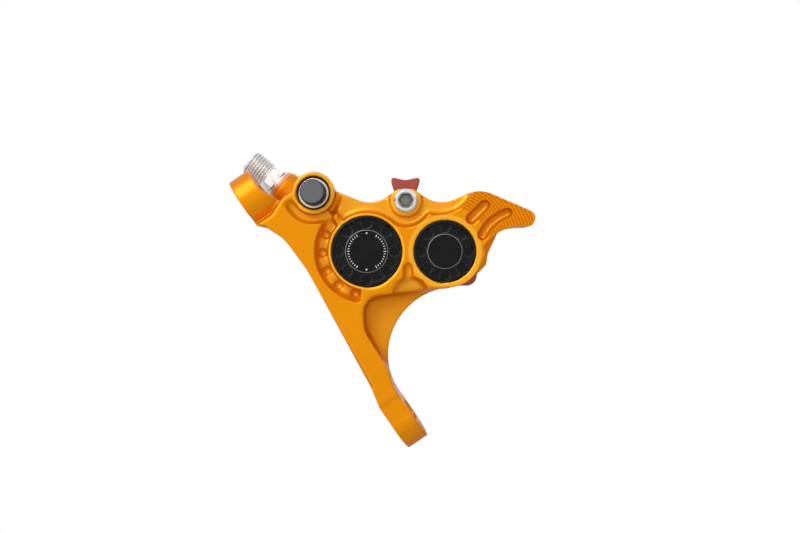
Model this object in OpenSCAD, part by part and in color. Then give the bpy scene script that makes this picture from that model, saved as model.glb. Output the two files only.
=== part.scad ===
// Bicycle disc brake caliper: one-piece body on two bolt lugs, four pistons in two sizes, two pads on a pin.
// Frame: the origin is midway between the two bolt slots on the mounting face, +X runs from that face into the
// caliper, +Z up the bolt line and +Y inboard. Pieces are drawn as sketches seen from outboard, where a height is
// the distance outboard of the rotor plane.

/* [Mounting] */
// Distance between the two mounting bolts
bolt_spacing = 74.2; // [73:0.1:76]
// Thickness of a lug along its bolt
lug_thickness = 6.5; // [6:0.1:8]
// Width of a lug across the rotor plane
lug_width = 15.6; // [14.8:0.2:15.6]
// How far the round end of a lug is centred past its bolt
lug_shift = 0.5; // [0:0.1:0.8]
// Width of a bolt slot
slot_width = 6.4; // [6.2:0.1:7]
// Length of a bolt slot
slot_length = 9.6; // [8:0.2:10.5]
// Tilt of the piston line against the bolt line's normal
mount_tilt = 34.2; // [32:0.1:35]
// Distance from the mounting face to the middle between the bores
pad_reach = 30.5; // [29.8:0.1:31.2]
// Height of that middle above the middle of the bolts
pad_rise = 1.1; // [0.6:0.1:1.6]
// Distance from the bolt line to the rotor plane
rotor_offset = 12; // [11.5:0.1:12.5]

/* [Body] */
// Height of the outboard face over the rotor plane
front_height = 20; // [19.5:0.1:21]
// Depth of the inboard face under the rotor plane
back_depth = 18.5; // [18:0.1:20]
// Half width of the slot for the pads
slot_half = 6; // [5.8:0.1:6.4]
// Depth of the milled ledge round the caps
ledge_depth = 2.4; // [1.8:0.1:3]
// Depth of the pocket between the leg and the caps
pocket_depth = 6.2; // [5:0.1:7]
// Radius of the milled fillets on the pocket floor
pocket_fillet = 2.2; // [1.6:0.1:2.6]
// Radius of the rotor that the caliper clears
rotor_r = 80; // [79:0.5:80.5]
// Clearance over the rotor's edge
rotor_clearance = 2; // [1.5:0.1:2.5]

/* [Bores] */
// Distance between the two bore axes
bore_spacing = 21.7; // [21.5:0.1:22.5]
// Diameter of the large pistons
large_piston_d = 16; // [15.6:0.1:16.2]
// Diameter of the small pistons
small_piston_d = 14; // [13.6:0.1:14.2]
// Gap behind a piston at rest
piston_gap = 1; // [0.6:0.1:1.4]
// Wall of a piston cup
piston_wall = 1.6; // [1.2:0.1:2]
// Radial clearance of a piston in its bore
piston_clearance = 0.03; // [0.02:0.01:0.05]
// Length of an insulator in a piston
insert_length = 4; // [3:0.1:5]
// Radial section of a piston seal
seal_section = 1.85; // [1.6:0.05:1.9]
// Length of a piston seal
seal_length = 2.1; // [1.8:0.1:2.4]

/* [Caps] */
// Diameter of the large cap
large_cap_d = 19.5; // [19.4:0.1:19.7]
// Diameter of the small cap
small_cap_d = 17.1; // [17:0.1:17.3]
// Thickness of a cap's flange
cap_flange = 2; // [1.8:0.1:2.4]
// Length of a cap's threaded spigot
cap_spigot = 2.6; // [2.2:0.1:2.8]
// Step from the flange's edge in to the spigot
cap_step = 0.75; // [0.6:0.05:0.9]
// Diameter of the ring that seals a cap
oring_section = 0.9; // [0.8:0.05:1]
// Number of tool notches round a cap
cap_notches = 8; // [6:1:10]
// Wall of the body round a cap
rim_wall = 0.85; // [0.7:0.05:1]

/* [Pads] */
// Width of a backing plate
pad_width = 41.6; // [40:0.2:42]
// Lower edge of a backing plate under the bore line
pad_drop = 9.8; // [9:0.1:10.5]
// Upper edge of a backing plate over the bore line
pad_top = 8.6; // [8:0.1:9]
// Thickness of a backing plate
plate_thickness = 1.8; // [1.6:0.1:2]
// Thickness of the friction block
friction_thickness = 2; // [1.6:0.1:2.2]
// Gap between the two friction faces
pad_gap = 3.2; // [3:0.1:3.4]
// Top of the fishtail tab over the bore line
tab_top = 22.2; // [21.4:0.1:22.6]
// Width across the fishtail
tab_width = 9.2; // [8.6:0.1:9.6]
// Thickness of the sheet spring between the pads
spring_sheet = 0.4; // [0.3:0.05:0.5]
// Reach of the spring's arms to each side
spring_reach = 14; // [13:0.5:15]
// Width of a spring arm
spring_arm = 1.6; // [1.4:0.1:1.8]
// Half width of the strip that joins the spring's leaves
spring_neck = 4; // [3.5:0.1:4.5]

/* [Pin] */
// Height of the pin over the bore line
pin_height = 14.1; // [13.8:0.1:14.6]
// Diameter of the pin's shank
pin_d = 3.9; // [3.6:0.1:4]
// Diameter of the pin's head
pin_head_d = 6.4; // [6:0.1:6.8]
// Thickness of the pin's head
pin_head = 2.2; // [1.8:0.1:2.6]
// Diameter of the boss under the head
pin_boss_d = 8.6; // [8.2:0.1:9]
// Size across the flats of the pin's socket
pin_socket = 3.5; // [3:0.1:4]

/* [Bleed valve] */
// Bleed axis along the bore line
bleed_x = -25.6; // [-26:0.1:-25.2]
// Bleed axis over the bore line
bleed_z = 16.2; // [15.8:0.1:16.6]
// Diameter of the ring boss
bleed_boss_d = 11.8; // [11.4:0.1:12.2]
// Depth of the moat between the boss and the leg
moat_depth = 1.5; // [1.2:0.1:1.8]
// Diameter of the recess in the boss
bleed_recess_d = 9.3; // [9:0.1:9.6]
// Diameter of the screw's flange
bleed_flange_d = 8.6; // [8.2:0.1:8.8]
// Diameter of the screw's thread
bleed_thread_d = 6; // [5.5:0.1:6.4]
// Diameter of the rubber cap at its foot
bleed_cap_d = 6.8; // [6.4:0.1:7.2]
// Height of the rubber cap
bleed_cap_height = 6; // [5:0.1:7]

/* [Hose fitting] */
// Sealing face of the fitting along the bore line
fitting_x = -36.7; // [-37.1:0.1:-36.3]
// Sealing face of the fitting over the bore line
fitting_z = 19.4; // [19:0.1:19.8]
// Direction of the fitting from the bore line
fitting_angle = 141; // [138:0.5:144]
// Depth of the fitting under the rotor plane
fitting_depth = 2; // [1.5:0.1:2.5]
// Diameter of both threads of the fitting
fitting_thread_d = 8; // [7.6:0.1:8.2]
// Length of the outer thread
fitting_thread = 7.9; // [6.5:0.1:8.6]
// Size across the flats of the hexagon
fitting_hex = 10; // [9.5:0.1:10.4]
// Length of the hexagon
fitting_hex_length = 3.2; // [2.6:0.1:4]
// Thickness of the copper washer
washer_thickness = 1; // [0.8:0.1:1.2]

/* [Hidden] */
$fn = 64;
arc_step = 9;
cut = 1;
fit = 0.1;
large_x = -bore_spacing / 2;
small_x = bore_spacing / 2;
plate_back = pad_gap / 2 + friction_thickness + plate_thickness;
plate_face = pad_gap / 2 + friction_thickness;
spigot_end = front_height - cap_flange - cap_spigot;
piston_top = spigot_end - piston_gap;
ledge = front_height - ledge_depth;
ledge_fillet = ledge_depth * 0.75;
moat_fillet = moat_depth * 0.75;
pocket = front_height - pocket_depth;
large_rim_r = large_cap_d / 2 + fit + rim_wall;
small_rim_r = small_cap_d / 2 + fit + rim_wall;
small_wall_r = small_rim_r + 0.4;
seal_low = slot_half + 2.4;
window_half = pad_width / 2 + 0.5;
lug_back = rotor_offset - lug_width / 2;
pin_boss_top = ledge + 1;
bleed_seat = front_height - 2.4;
roof_r = rotor_r + rotor_clearance;
rotor_z = pad_top - roof_r + 0.4;
web_back = back_depth - 2.6;
clip_sheet = 0.6;
clip_top = web_back + 0.2;
pin_end = clip_top + clip_sheet + 1.2;
bleed_length = 9;
bleed_flange = 1.1;
nipple_r = 1.9;
nipple_length = 4;
neck_length = 11;
spigot_length = 7.5;

// Outline tools

function flat(p) = [p[0], p[1]];
function unit(v) = v / norm(v);

// The arc of radius r that rounds the corner b between its neighbours a and c
function corner(a, b, c, r) =
    let (
        u = unit(a - b),
        v = unit(c - b),
        half = acos(u * v) / 2,
        centre = b + unit(u + v) * r / sin(half),
        from = b + u * r / tan(half) - centre,
        to = b + v * r / tan(half) - centre,
        start = atan2(from.y, from.x),
        sweep = (atan2(to.y, to.x) - start + 540) % 360 - 180,
        steps = max(2, ceil(abs(sweep) / arc_step))
    )
    [for (i = [0:steps]) centre + r * [cos(start + sweep * i / steps), sin(start + sweep * i / steps)]];

// An outline whose corners are [x, y, radius]
function rounded(corners) =
    let (n = len(corners))
    [for (i = [0:n - 1])
        each (corners[i][2] > 0
            ? corner(flat(corners[(i + n - 1) % n]), flat(corners[i]), flat(corners[(i + 1) % n]), corners[i][2])
            : [flat(corners[i])])];

// Frames

module in_row() {
    translate([0, rotor_offset, 0])
        rotate([90, 0, 0])
            children();
}

module in_caliper() {
    in_row()
        translate([pad_reach, pad_rise, 0])
            rotate([0, 0, -mount_tilt])
                children();
}

// A copy turned over to the inboard side of the rotor plane
module inboard() {
    mirror([0, 0, 1])
        children();
}

module slab(outline, low, high) {
    translate([0, 0, low])
        linear_extrude(high - low)
            polygon(outline);
}

module disc(x, z, r, low, high) {
    translate([x, z, low])
        cylinder(r = r, h = high - low);
}

// A profile of [radius, height] points turned about an axis at x, z
module turned(x, z, profile, start = 0, sweep = 360) {
    translate([x, z, 0])
        rotate([0, 0, start])
            rotate_extrude(angle = sweep)
                polygon(profile);
}

// Milling cutters

// Points of a concave fillet from the floor up the wall, as [distance from the wall, height over the floor]
function fillet_arc(r) = [for (i = [0:5]) r * [1 - sin(i * 18), 1 - cos(i * 18)]];

// A round pocket with a filleted floor
module basin(x, z, r, floor, fillet) {
    turned(x, z, concat(
        [[0, front_height + cut], [0, floor]],
        [for (p = fillet_arc(fillet)) [r - p[0], floor + p[1]]],
        [[r, front_height + cut]]));
}

// What a pocket leaves standing round an axis, with a fillet at its foot
module post(x, z, r, floor, fillet, top) {
    turned(x, z, concat(
        [[0, floor - cut], [r + fillet, floor - cut]],
        [for (p = fillet_arc(fillet)) [r + p[0], floor + p[1]]],
        [[r, top], [0, top]]));
}

// A milled ring round an axis: inner wall at near, filleted outer wall at far
module ring_cut(x, z, near, far, floor, fillet, start, sweep) {
    turned(x, z, concat(
        [[near, front_height + cut], [near, floor]],
        [for (p = fillet_arc(fillet)) [far - p[0], floor + p[1]]],
        [[far, front_height + cut]]), start, sweep);
}

// The end of a round-bottomed slot, a hair smaller than the slot itself
module slot_end(p, r, depth) {
    end_r = r - 0.03;
    level = front_height - depth + r;
    turned(p[0], p[1], concat(
        [[0, front_height + cut], [0, level - end_r]],
        [for (i = [1:5]) [end_r * sin(i * 18), level - end_r * cos(i * 18)]],
        [[end_r, front_height + cut]]));
}

// Section of a round-bottomed slot about its own middle line
function slot_section(r, depth) =
    let (level = front_height - depth + r)
    concat(
        [[-r, front_height + cut]],
        [for (i = [0:10]) [-r * cos(i * 18), level - r * sin(i * 18)]],
        [[r, front_height + cut]]);

module straight_slot(from, to, r, depth) {
    run = to - from;
    translate([from[0], from[1], 0])
        rotate([0, 0, atan2(run.y, run.x) + 90])
            rotate([90, 0, 0])
                linear_extrude(norm(run))
                    polygon(slot_section(r, depth));
    slot_end(from, r, depth);
    slot_end(to, r, depth);
}

module arc_slot(centre, bend_r, start, sweep, r, depth) {
    turned(centre[0], centre[1], [for (p = slot_section(r, depth)) [bend_r + p[0], p[1]]], start, sweep);
    for (angle = [start, start + sweep])
        slot_end(centre + bend_r * [cos(angle), sin(angle)], r, depth);
}

// Caliper body: blank

lug_axis = bolt_spacing / 2 + lug_shift;
foot = lug_axis - lug_width / 2 + 0.8;
leg_low = [1.1, 5 - foot];
leg_high = [4.9, 12];
leg_outline = rounded([
    [0, -bolt_spacing / 2 - lug_width, 0],
    [0, -foot, 0.8],
    [leg_low.x, leg_low.y, 5],
    [leg_high.x, leg_high.y, 30],
    [4.5, foot - 7.5, 12],
    [1.9, foot - 1.7, 1.5],
    [0, foot - 0.3, 0.8],
    [0, bolt_spacing / 2 + lug_width, 0],
    [lug_thickness, bolt_spacing / 2 + lug_width, 0],
    [lug_thickness, foot + 8, 8],
    [lug_thickness + 3.1, foot + 1, 2],
    [13, 27, 0],
    [lug_thickness + 1, 20, 0],
    [lug_thickness + 1, -14, 0],
    [lug_thickness, -22, 0],
    [lug_thickness, -bolt_spacing / 2 - lug_width, 0]
]);

core_outline = rounded([
    [-37, 11, 0],
    [-34.2, 15.2, 1],
    [bleed_x - 4, bleed_z + 1.6, 0],
    [bleed_x + 4, bleed_z + 1.6, 0],
    [-9.3, 12.7, 8],
    [-2.2, pin_height + 3.3, 0],
    [2.2, pin_height + 3.3, 0],
    [9.3, 12.7, 8],
    [20.3, 17.6, 9],
    [36.9, 10.4, 2.2],
    [35, 7, 1.2],
    [23.3, 6.5, 11.3],
    [small_x + 9.6, -2, 0],
    [small_x + 6.5, -7, 0],
    [14, -16, 0],
    [2, -38, 0],
    [-4, -38, 0],
    [-14, -22, 0],
    [-26, -4, 0],
    [-34, 8, 0]
]);

// The leg's upper end drops to a saddle behind a round lug, and its lower end runs straight into one
module leg() {
    saddle = rotor_offset + 3.8;
    saddle_fillet = 2.4;
    intersection() {
        slab(leg_outline, lug_back, front_height);
        union() {
            translate([-cut, -foot, lug_back - cut])
                cube([30, 2 * foot, front_height - lug_back + 2 * cut]);
            translate([-cut, -lug_axis, lug_back - cut])
                cube([30, foot, lug_width + cut]);
            translate([-cut, 0, lug_back - cut])
                cube([30, lug_axis, saddle - lug_back + cut]);
            translate([30, foot, saddle])
                rotate([0, -90, 0])
                    linear_extrude(30 + cut)
                        polygon(concat([[-cut, -cut], [-cut, saddle_fillet]],
                            [for (p = fillet_arc(saddle_fillet)) [p[1], p[0]]], [[saddle_fillet, -cut]]));
            for (side = [-1, 1])
                translate([-cut, side * lug_axis, rotor_offset])
                    rotate([0, 90, 0])
                        cylinder(r = lug_width / 2 + 0.1, h = 30);
        }
    }
}

module outer_half() {
    slab(core_outline, slot_half, front_height);
    disc(small_x + 1.25, -0.8, small_wall_r, slot_half, front_height);
}

// Inboard half: a domed cylinder round each blind bore on a web that reaches both bridges
module inner_half() {
    web = rounded([
        [-32.4, -0.4, 0], [-35.4, 9, 3], [-33.2, 17.2, 3], [-21, 14.7, 0], [-9.3, 12.2, 8],
        [-2.2, pin_height + 3.3, 2],
        [2.2, pin_height + 3.3, 2], [9.3, 12.2, 8], [20.3, 16.8, 4], [28.5, 13.4, 2], [28, 6, 3],
        [25, -0.4, 5], [24.6, -3.6, 2], [21.4, -7, 2], [12, -8, 0], [-12, -6, 0], [-24, -0.4, 6]
    ]);
    inboard() {
        slab(web, slot_half, web_back);
        dome(large_x, large_piston_d / 2 + 4.6);
        dome(small_x, small_piston_d / 2 + 4);
    }
}

module dome(x, r) {
    edge = 3;
    turned(x, 0, concat(
        [[0, slot_half], [r, slot_half]],
        [for (i = [0:5]) [r - edge + edge * cos(i * 18), back_depth - edge + edge * sin(i * 18)]],
        [[0, back_depth]]));
}

// Bridges over the rotor at both ends of the pad window
module bridges() {
    left = rounded([[-window_half, 0, 0], [-window_half, 14.5, 2], [-33, 17, 3], [-35, 9, 3], [-32, 0, 0]]);
    right = rounded([[window_half, 0, 0], [window_half, 16.4, 2], [28, 13.4, 2], [26.6, 6, 1], [24, 0, 0]]);
    difference() {
        union() {
            slab(left, -slot_half - cut, slot_half + cut);
            slab(right, -slot_half - cut, slot_half + cut);
        }
        disc(0, rotor_z, roof_r, -slot_half, slot_half);
    }
}

module along_fitting() {
    translate([fitting_x, fitting_z, -fitting_depth])
        rotate([0, 0, fitting_angle])
            rotate([0, 90, 0])
                children();
}

// Caliper body: cuts

// Bore for one piston, with its seal groove, from the slot to its end
module piston_bore(x, d) {
    r = d / 2 + piston_clearance;
    groove = d / 2 + seal_section + fit;
    turned(x, 0, [
        [0, slot_half - cut], [r, slot_half - cut], [r, seal_low], [groove, seal_low],
        [groove, seal_low + seal_length + fit], [r, seal_low + seal_length + fit], [r, spigot_end], [0, spigot_end]
    ]);
}

module cap_seat(x, cap_d) {
    spigot = cap_d / 2 - cap_step + fit;
    turned(x, 0, [
        [0, spigot_end - fit], [spigot, spigot_end - fit], [spigot, front_height - cap_flange],
        [cap_d / 2 + fit, front_height - cap_flange], [cap_d / 2 + fit, front_height + cut], [0, front_height + cut]
    ]);
}

// What stands inside the ledge
module ledge_posts() {
    post(large_x, 0, large_rim_r, ledge, ledge_fillet, front_height + 2 * cut);
    post(small_x, 0, small_rim_r, ledge, ledge_fillet, front_height + 2 * cut);
    post(0, pin_height, pin_boss_d / 2, ledge, 1, pin_boss_top);
}

module ledge_basin(x, z, r) {
    difference() {
        basin(x, z, r, ledge, ledge_fillet);
        ledge_posts();
    }
}

// Moat under the bleed boss, which is put back in the middle of it: shallow beside the leg, then a step under the
// ledge round to the upper edge
module bleed_moat() {
    boss_r = bleed_boss_d / 2;
    step = 309;
    ring_cut(bleed_x, bleed_z, boss_r - cut, boss_r + 2.7, front_height - moat_depth, moat_fillet, 200, step - 199);
    ring_cut(bleed_x, bleed_z, boss_r - 1.2 * cut, boss_r + 2.4, ledge - 0.7, ledge_fillet, step, 96);
}

module bleed_boss() {
    disc(bleed_x, bleed_z, bleed_boss_d / 2, slot_half, front_height + 0.3);
}

// Ledge round the caps: a basin round the pin, one to each side of it, one between the caps' lower rims and a ring beside
// the large cap
module ledge_cuts() {
    ledge_basin(0, pin_height, 7.4);
    ledge_basin(9, 20.6, 10.5);
    ledge_basin(large_x, 12.4, 8.4);
    ledge_basin(1.4, -12, 4.9);
    ring_cut(large_x, 0, large_rim_r, large_rim_r + 3.7, ledge, ledge_fillet, 137, 125);
}

// Pocket between the leg and the caps, open to the lower right. Its wall is the path from the first corner to the
// last, with a fillet along its foot.
pocket_wall = [[16, -9.7], [-11.8, -12.9], [-11.6, -22], [2, -43.5]];
pocket_bends = [4.5, 8];

module pocket_cut() {
    outline = rounded([
        [40, -7, 0],
        [pocket_wall[1].x, pocket_wall[1].y, pocket_bends[0]],
        [pocket_wall[2].x, pocket_wall[2].y, pocket_bends[1]],
        [pocket_wall[3].x, pocket_wall[3].y, 0],
        [40, pocket_wall[3].y, 0]
    ]);
    slab(outline, pocket, front_height + cut);
}

module pocket_fillet_run(from, to) {
    run = to - from;
    translate([from[0], from[1], pocket])
        rotate([0, 0, atan2(run.x, -run.y)])
            rotate([90, 0, 0])
                linear_extrude(norm(run))
                    polygon(concat([[-0.4, -0.4], [pocket_fillet, -0.4]], fillet_arc(pocket_fillet),
                        [[-0.4, pocket_fillet]]));
}

module pocket_fillet_bend(a, b, c, r) {
    arc = corner(a, b, c, r);
    centre = b + unit(unit(a - b) + unit(c - b)) * r / sin(acos(unit(a - b) * unit(c - b)) / 2);
    first = arc[0] - centre;
    last = arc[len(arc) - 1] - centre;
    start = atan2(first.y, first.x);
    sweep = (atan2(last.y, last.x) - start + 540) % 360 - 180;
    translate([0, 0, pocket])
        turned(centre.x, centre.y, concat([[r + 0.4, -0.4], [r - pocket_fillet, -0.4]],
            [for (p = fillet_arc(pocket_fillet)) [r - p[0], p[1]]], [[r + 0.4, pocket_fillet]]), start, sweep);
}

module pocket_fillets() {
    upper = corner(pocket_wall[0], pocket_wall[1], pocket_wall[2], pocket_bends[0]);
    lower = corner(pocket_wall[1], pocket_wall[2], pocket_wall[3], pocket_bends[1]);
    pocket_fillet_run(pocket_wall[0], upper[0]);
    pocket_fillet_bend(pocket_wall[0], pocket_wall[1], pocket_wall[2], pocket_bends[0]);
    pocket_fillet_run(upper[len(upper) - 1], lower[0]);
    pocket_fillet_bend(pocket_wall[1], pocket_wall[2], pocket_wall[3], pocket_bends[1]);
    pocket_fillet_run(lower[len(lower) - 1], pocket_wall[3]);
}

module dimples() {
    ball = 1.4;
    depth = 1;
    for (i = [0:4])
        translate([large_x, 0, 0])
            rotate([0, 0, 157.7 + i * 24.1])
                translate([large_rim_r + 1.55, 0, ledge + ball - depth])
                    sphere(r = ball);
}

// Tail fin: fine rings about the small bore, and two round-bottomed slots
module fin_rings() {
    pitch = 0.85;
    width = 0.6;
    depth = 0.35;
    first = 12.8;
    count = 16;
    turned(small_x, 0, concat(
        [[first - 0.1, front_height + cut], [first - 0.1, front_height + 0.05]],
        [for (i = [0:count - 1], p = [[0, 0.05], [width / 2, -depth], [width, 0.05]])
            [first + i * pitch + p[0], front_height + p[1]]],
        [[first + count * pitch, front_height + cut]]), -12, 82);
}

module fin_slots() {
    straight_slot([18.2, 9], [22, 12.8], 1.5, 2);
    arc_slot([32.1, -0.6], 11.9, 109, 46, 1.4, 2);
}

module bolt_slot(z) {
    straight = slot_length - slot_width;
    for (side = [-1, 1])
        translate([-cut, z, rotor_offset + side * straight / 2])
            rotate([0, 90, 0])
                cylinder(d = slot_width, h = lug_thickness + 8);
    translate([-cut, z - slot_width / 2, rotor_offset - straight / 2])
        cube([lug_thickness + 8, slot_width, straight]);
}

// Bevel along the leg's free edge, which runs out at its upper end
module leg_bevel() {
    bevel = 1.4;
    from = leg_low + [0, 0.5];
    run = leg_high - [bevel / sqrt(2), 0] - from;
    translate([from.x, from.y, front_height])
        rotate([0, 0, -atan2(run.x, run.y)])
            rotate([0, 45, 0])
                translate([-bevel / 2, 0, -bevel / 2])
                    cube([bevel, norm(run), bevel]);
}

module caliper_body() {
    color("orange")
        difference() {
            union() {
                difference() {
                    union() {
                        in_row()
                            leg();
                        in_caliper()
                            outer_half();
                    }
                    in_caliper() {
                        pocket_cut();
                        bleed_moat();
                    }
                }
                in_caliper() {
                    pocket_fillets();
                    inner_half();
                    bridges();
                    bleed_boss();
                    along_fitting()
                        translate([0, 0, -neck_length])
                            cylinder(d = fitting_hex + 1.2, h = neck_length);
                }
            }
            in_row() {
                disc(lug_thickness + 19.4, -31.4, 19.5, slot_half - 2, front_height + cut);
                for (side = [-1, 1])
                    bolt_slot(side * bolt_spacing / 2);
                leg_bevel();
            }
            in_caliper() {
                ledge_cuts();
                dimples();
                straight_slot([0.7, -4.6], [0.7, -9], 1.4, 1.5);
                fin_rings();
                fin_slots();
                cap_seat(large_x, large_cap_d);
                cap_seat(small_x, small_cap_d);
                piston_bore(large_x, large_piston_d);
                piston_bore(small_x, small_piston_d);
                inboard() {
                    piston_bore(large_x, large_piston_d);
                    piston_bore(small_x, small_piston_d);
                }
                disc(0, pin_height, pin_d / 2 + fit, -back_depth, front_height);
                turned(bleed_x, bleed_z, [
                    [0, bleed_seat - bleed_length - fit], [bleed_thread_d / 2 + 0.05, bleed_seat - bleed_length - fit],
                    [bleed_thread_d / 2 + 0.05, bleed_seat], [bleed_recess_d / 2, bleed_seat],
                    [bleed_recess_d / 2, front_height + cut], [0, front_height + cut]
                ]);
                along_fitting()
                    translate([0, 0, -spigot_length - fit])
                        cylinder(d = fitting_thread_d + 2 * fit, h = spigot_length + cut);
            }
        }
}

// Bore caps

module bore_cap(x, cap_d, disc_r) {
    r = cap_d / 2;
    spigot = r - cap_step;
    seat = front_height - cap_flange;
    gland = oring_section + 0.06;
    recess = 0.5;
    notch_r = (r - disc_r) * 0.4;
    color([0.1, 0.1, 0.1])
        difference() {
            turned(x, 0, [
                [0, spigot_end + 1.4], [spigot - 2.4, spigot_end + 1.4], [spigot - 2.4, spigot_end],
                [spigot, spigot_end], [spigot, seat - gland], [spigot - gland, seat - gland], [spigot - gland, seat],
                [r, seat], [r, front_height - 0.3], [r - 0.3, front_height], [r - 0.8, front_height],
                [r - 1.1, front_height - recess], [disc_r + 0.3, front_height - recess], [disc_r, front_height],
                [0, front_height]
            ]);
            for (i = [0:cap_notches - 1])
                translate([x, 0, 0])
                    rotate([0, 0, i * 360 / cap_notches])
                        translate([(r + disc_r) / 2, 0, front_height - 1.2])
                            cylinder(r = notch_r, h = 1.2 + cut);
        }
}

module bore_cap_large() {
    bore_cap(large_x, large_cap_d, 5.9);
}

module bore_cap_small() {
    bore_cap(small_x, small_cap_d, 4.8);
}

module bore_cap_oring(x, cap_d) {
    seat = front_height - cap_flange;
    color([0.15, 0.15, 0.15])
        translate([x, 0, seat - oring_section / 2 - 0.03])
            rotate_extrude()
                translate([cap_d / 2 - cap_step - oring_section / 2 - 0.03, 0])
                    circle(d = oring_section);
}

// Pistons, drawn on the outboard side

module piston(x, d) {
    r = d / 2;
    hollow = r - piston_wall;
    color("silver")
        turned(x, 0, [
            [0, piston_top - piston_wall], [hollow, piston_top - piston_wall], [hollow, plate_back], [r, plate_back],
            [r, piston_top - 0.5], [r - 0.5, piston_top], [0, piston_top]
        ]);
}

module insulator(x, d) {
    r = d / 2 - piston_wall - 0.02;
    color([0.25, 0.18, 0.12])
        turned(x, 0, [
            [1.5, plate_back], [r, plate_back], [r, plate_back + insert_length], [1.5, plate_back + insert_length]
        ]);
}

module seal(x, d) {
    low = seal_low + fit / 2;
    color([0.15, 0.15, 0.15])
        turned(x, 0, [
            [d / 2 + 0.05, low], [d / 2 + seal_section, low],
            [d / 2 + seal_section, low + seal_length], [d / 2 + 0.05, low + seal_length]
        ]);
}

// Pads, drawn on the outboard side

module pad_plate() {
    half = pad_width / 2;
    right = [
        [half, -pad_drop, 3], [half, pad_top - 2.6, 2], [half - 6, pad_top, 4], [5.6, pad_top, 1.5],
        [4.2, pad_top + 2.6, 1.5], [4.2, pin_height + 0.8, 1.5], [3, pin_height + 3.2, 1.5],
        [tab_width / 2, tab_top - 0.2, 0.8]
    ];
    left = [for (i = [len(right) - 1:-1:0]) [-right[i][0], right[i][1], right[i][2]]];
    color([0.68, 0.3, 0.28])
        difference() {
            slab(rounded(concat(right, [[0, tab_top - 1.2, 4]], left)), plate_face, plate_back);
            disc(0, pin_height, pin_d / 2 + 0.25, plate_face - cut, plate_back + cut);
        }
}

module pad_friction() {
    half = pad_width / 2 - 2.2;
    low = 1.2 - pad_drop;
    color([0.35, 0.3, 0.27])
        difference() {
            slab(rounded([
                [half, low, 2.5], [half - 1, pad_top - 4.4, 3], [9, pad_top - 2.2, 6],
                [-9, pad_top - 2.2, 6], [1 - half, pad_top - 4.4, 3], [-half, low, 2.5]
            ]), pad_gap / 2, plate_face);
            translate([-0.6, low - cut, pad_gap / 2 - cut])
                cube([1.2, pad_drop + pad_top, friction_thickness * 0.6 + cut]);
        }
}

// Sheet spring: a leaf with two arms against each plate, joined by a strip under the pin
module pad_spring() {
    leaf = plate_face - 0.05;
    strip = pin_height - pin_d / 2 - 1;
    arm_top = pad_top - 0.2;
    right = [
        [spring_reach, arm_top - spring_arm, 0.6], [spring_reach, arm_top, 0.6], [spring_neck + 1, arm_top, 0.6],
        [spring_neck, arm_top + 1.2, 0.6], [spring_neck, strip, 0]
    ];
    left = [for (i = [len(right) - 1:-1:0]) [-right[i][0], right[i][1], right[i][2]]];
    outline = rounded(concat(right, left));
    color("lightgray")
        in_caliper() {
            slab(outline, leaf - spring_sheet, leaf);
            slab(outline, -leaf, spring_sheet - leaf);
            translate([-spring_neck, strip - spring_sheet, -leaf])
                cube([2 * spring_neck, spring_sheet, 2 * leaf]);
        }
}

// Pad pin

module pad_pin() {
    r = pin_d / 2;
    head = pin_head_d / 2;
    color("silver")
        in_caliper()
            difference() {
                turned(0, pin_height, [
                    [0, -pin_end], [r - 0.4, -pin_end], [r, 0.4 - pin_end], [r, -clip_top - clip_sheet - 0.1],
                    [r - 0.45, -clip_top - clip_sheet - 0.1], [r - 0.45, -clip_top], [r, -clip_top],
                    [r, pin_boss_top], [head, pin_boss_top], [head, pin_boss_top + pin_head - 0.4],
                    [head - 0.4, pin_boss_top + pin_head], [0, pin_boss_top + pin_head]
                ]);
                translate([0, pin_height, pin_boss_top + 0.6])
                    cylinder(d = pin_socket / cos(30), h = pin_head, $fn = 6);
            }
}

module pad_pin_clip() {
    color("silver")
        in_caliper()
            difference() {
                turned(0, pin_height, [
                    [pin_d / 2 - 0.4, -clip_top - clip_sheet - 0.05], [pin_d / 2 + 1.4, -clip_top - clip_sheet - 0.05],
                    [pin_d / 2 + 1.4, -clip_top - 0.05], [pin_d / 2 - 0.4, -clip_top - 0.05]
                ]);
                translate([-1.1, pin_height, -clip_top - 2])
                    cube([2.2, pin_d + 2, 4]);
            }
}

// Bleed valve

module bleed_screw() {
    r = bleed_thread_d / 2;
    top = bleed_seat + bleed_flange;
    color("silver")
        in_caliper()
            turned(bleed_x, bleed_z, [
                [0, bleed_seat - bleed_length], [1, bleed_seat - bleed_length], [r, bleed_seat - bleed_length + 2],
                [r, bleed_seat], [bleed_flange_d / 2, bleed_seat], [bleed_flange_d / 2, top - 0.3],
                [bleed_flange_d / 2 - 0.3, top], [nipple_r, top], [nipple_r, top + nipple_length - 0.8],
                [nipple_r - 0.5, top + nipple_length], [0.6, top + nipple_length], [0.6, bleed_seat], [0, bleed_seat]
            ]);
}

module bleed_cap() {
    foot_r = bleed_cap_d / 2;
    low = bleed_seat + bleed_flange;
    inside = nipple_r + 0.02;
    color([0.2, 0.2, 0.2])
        in_caliper()
            turned(bleed_x, bleed_z, [
                [inside, low], [foot_r, low], [foot_r, low + 1], [foot_r - 0.5, low + bleed_cap_height - 0.4],
                [foot_r - 0.9, low + bleed_cap_height], [0, low + bleed_cap_height],
                [0, low + nipple_length + 0.05], [inside, low + nipple_length + 0.05]
            ]);
}

// Hose fitting

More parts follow.
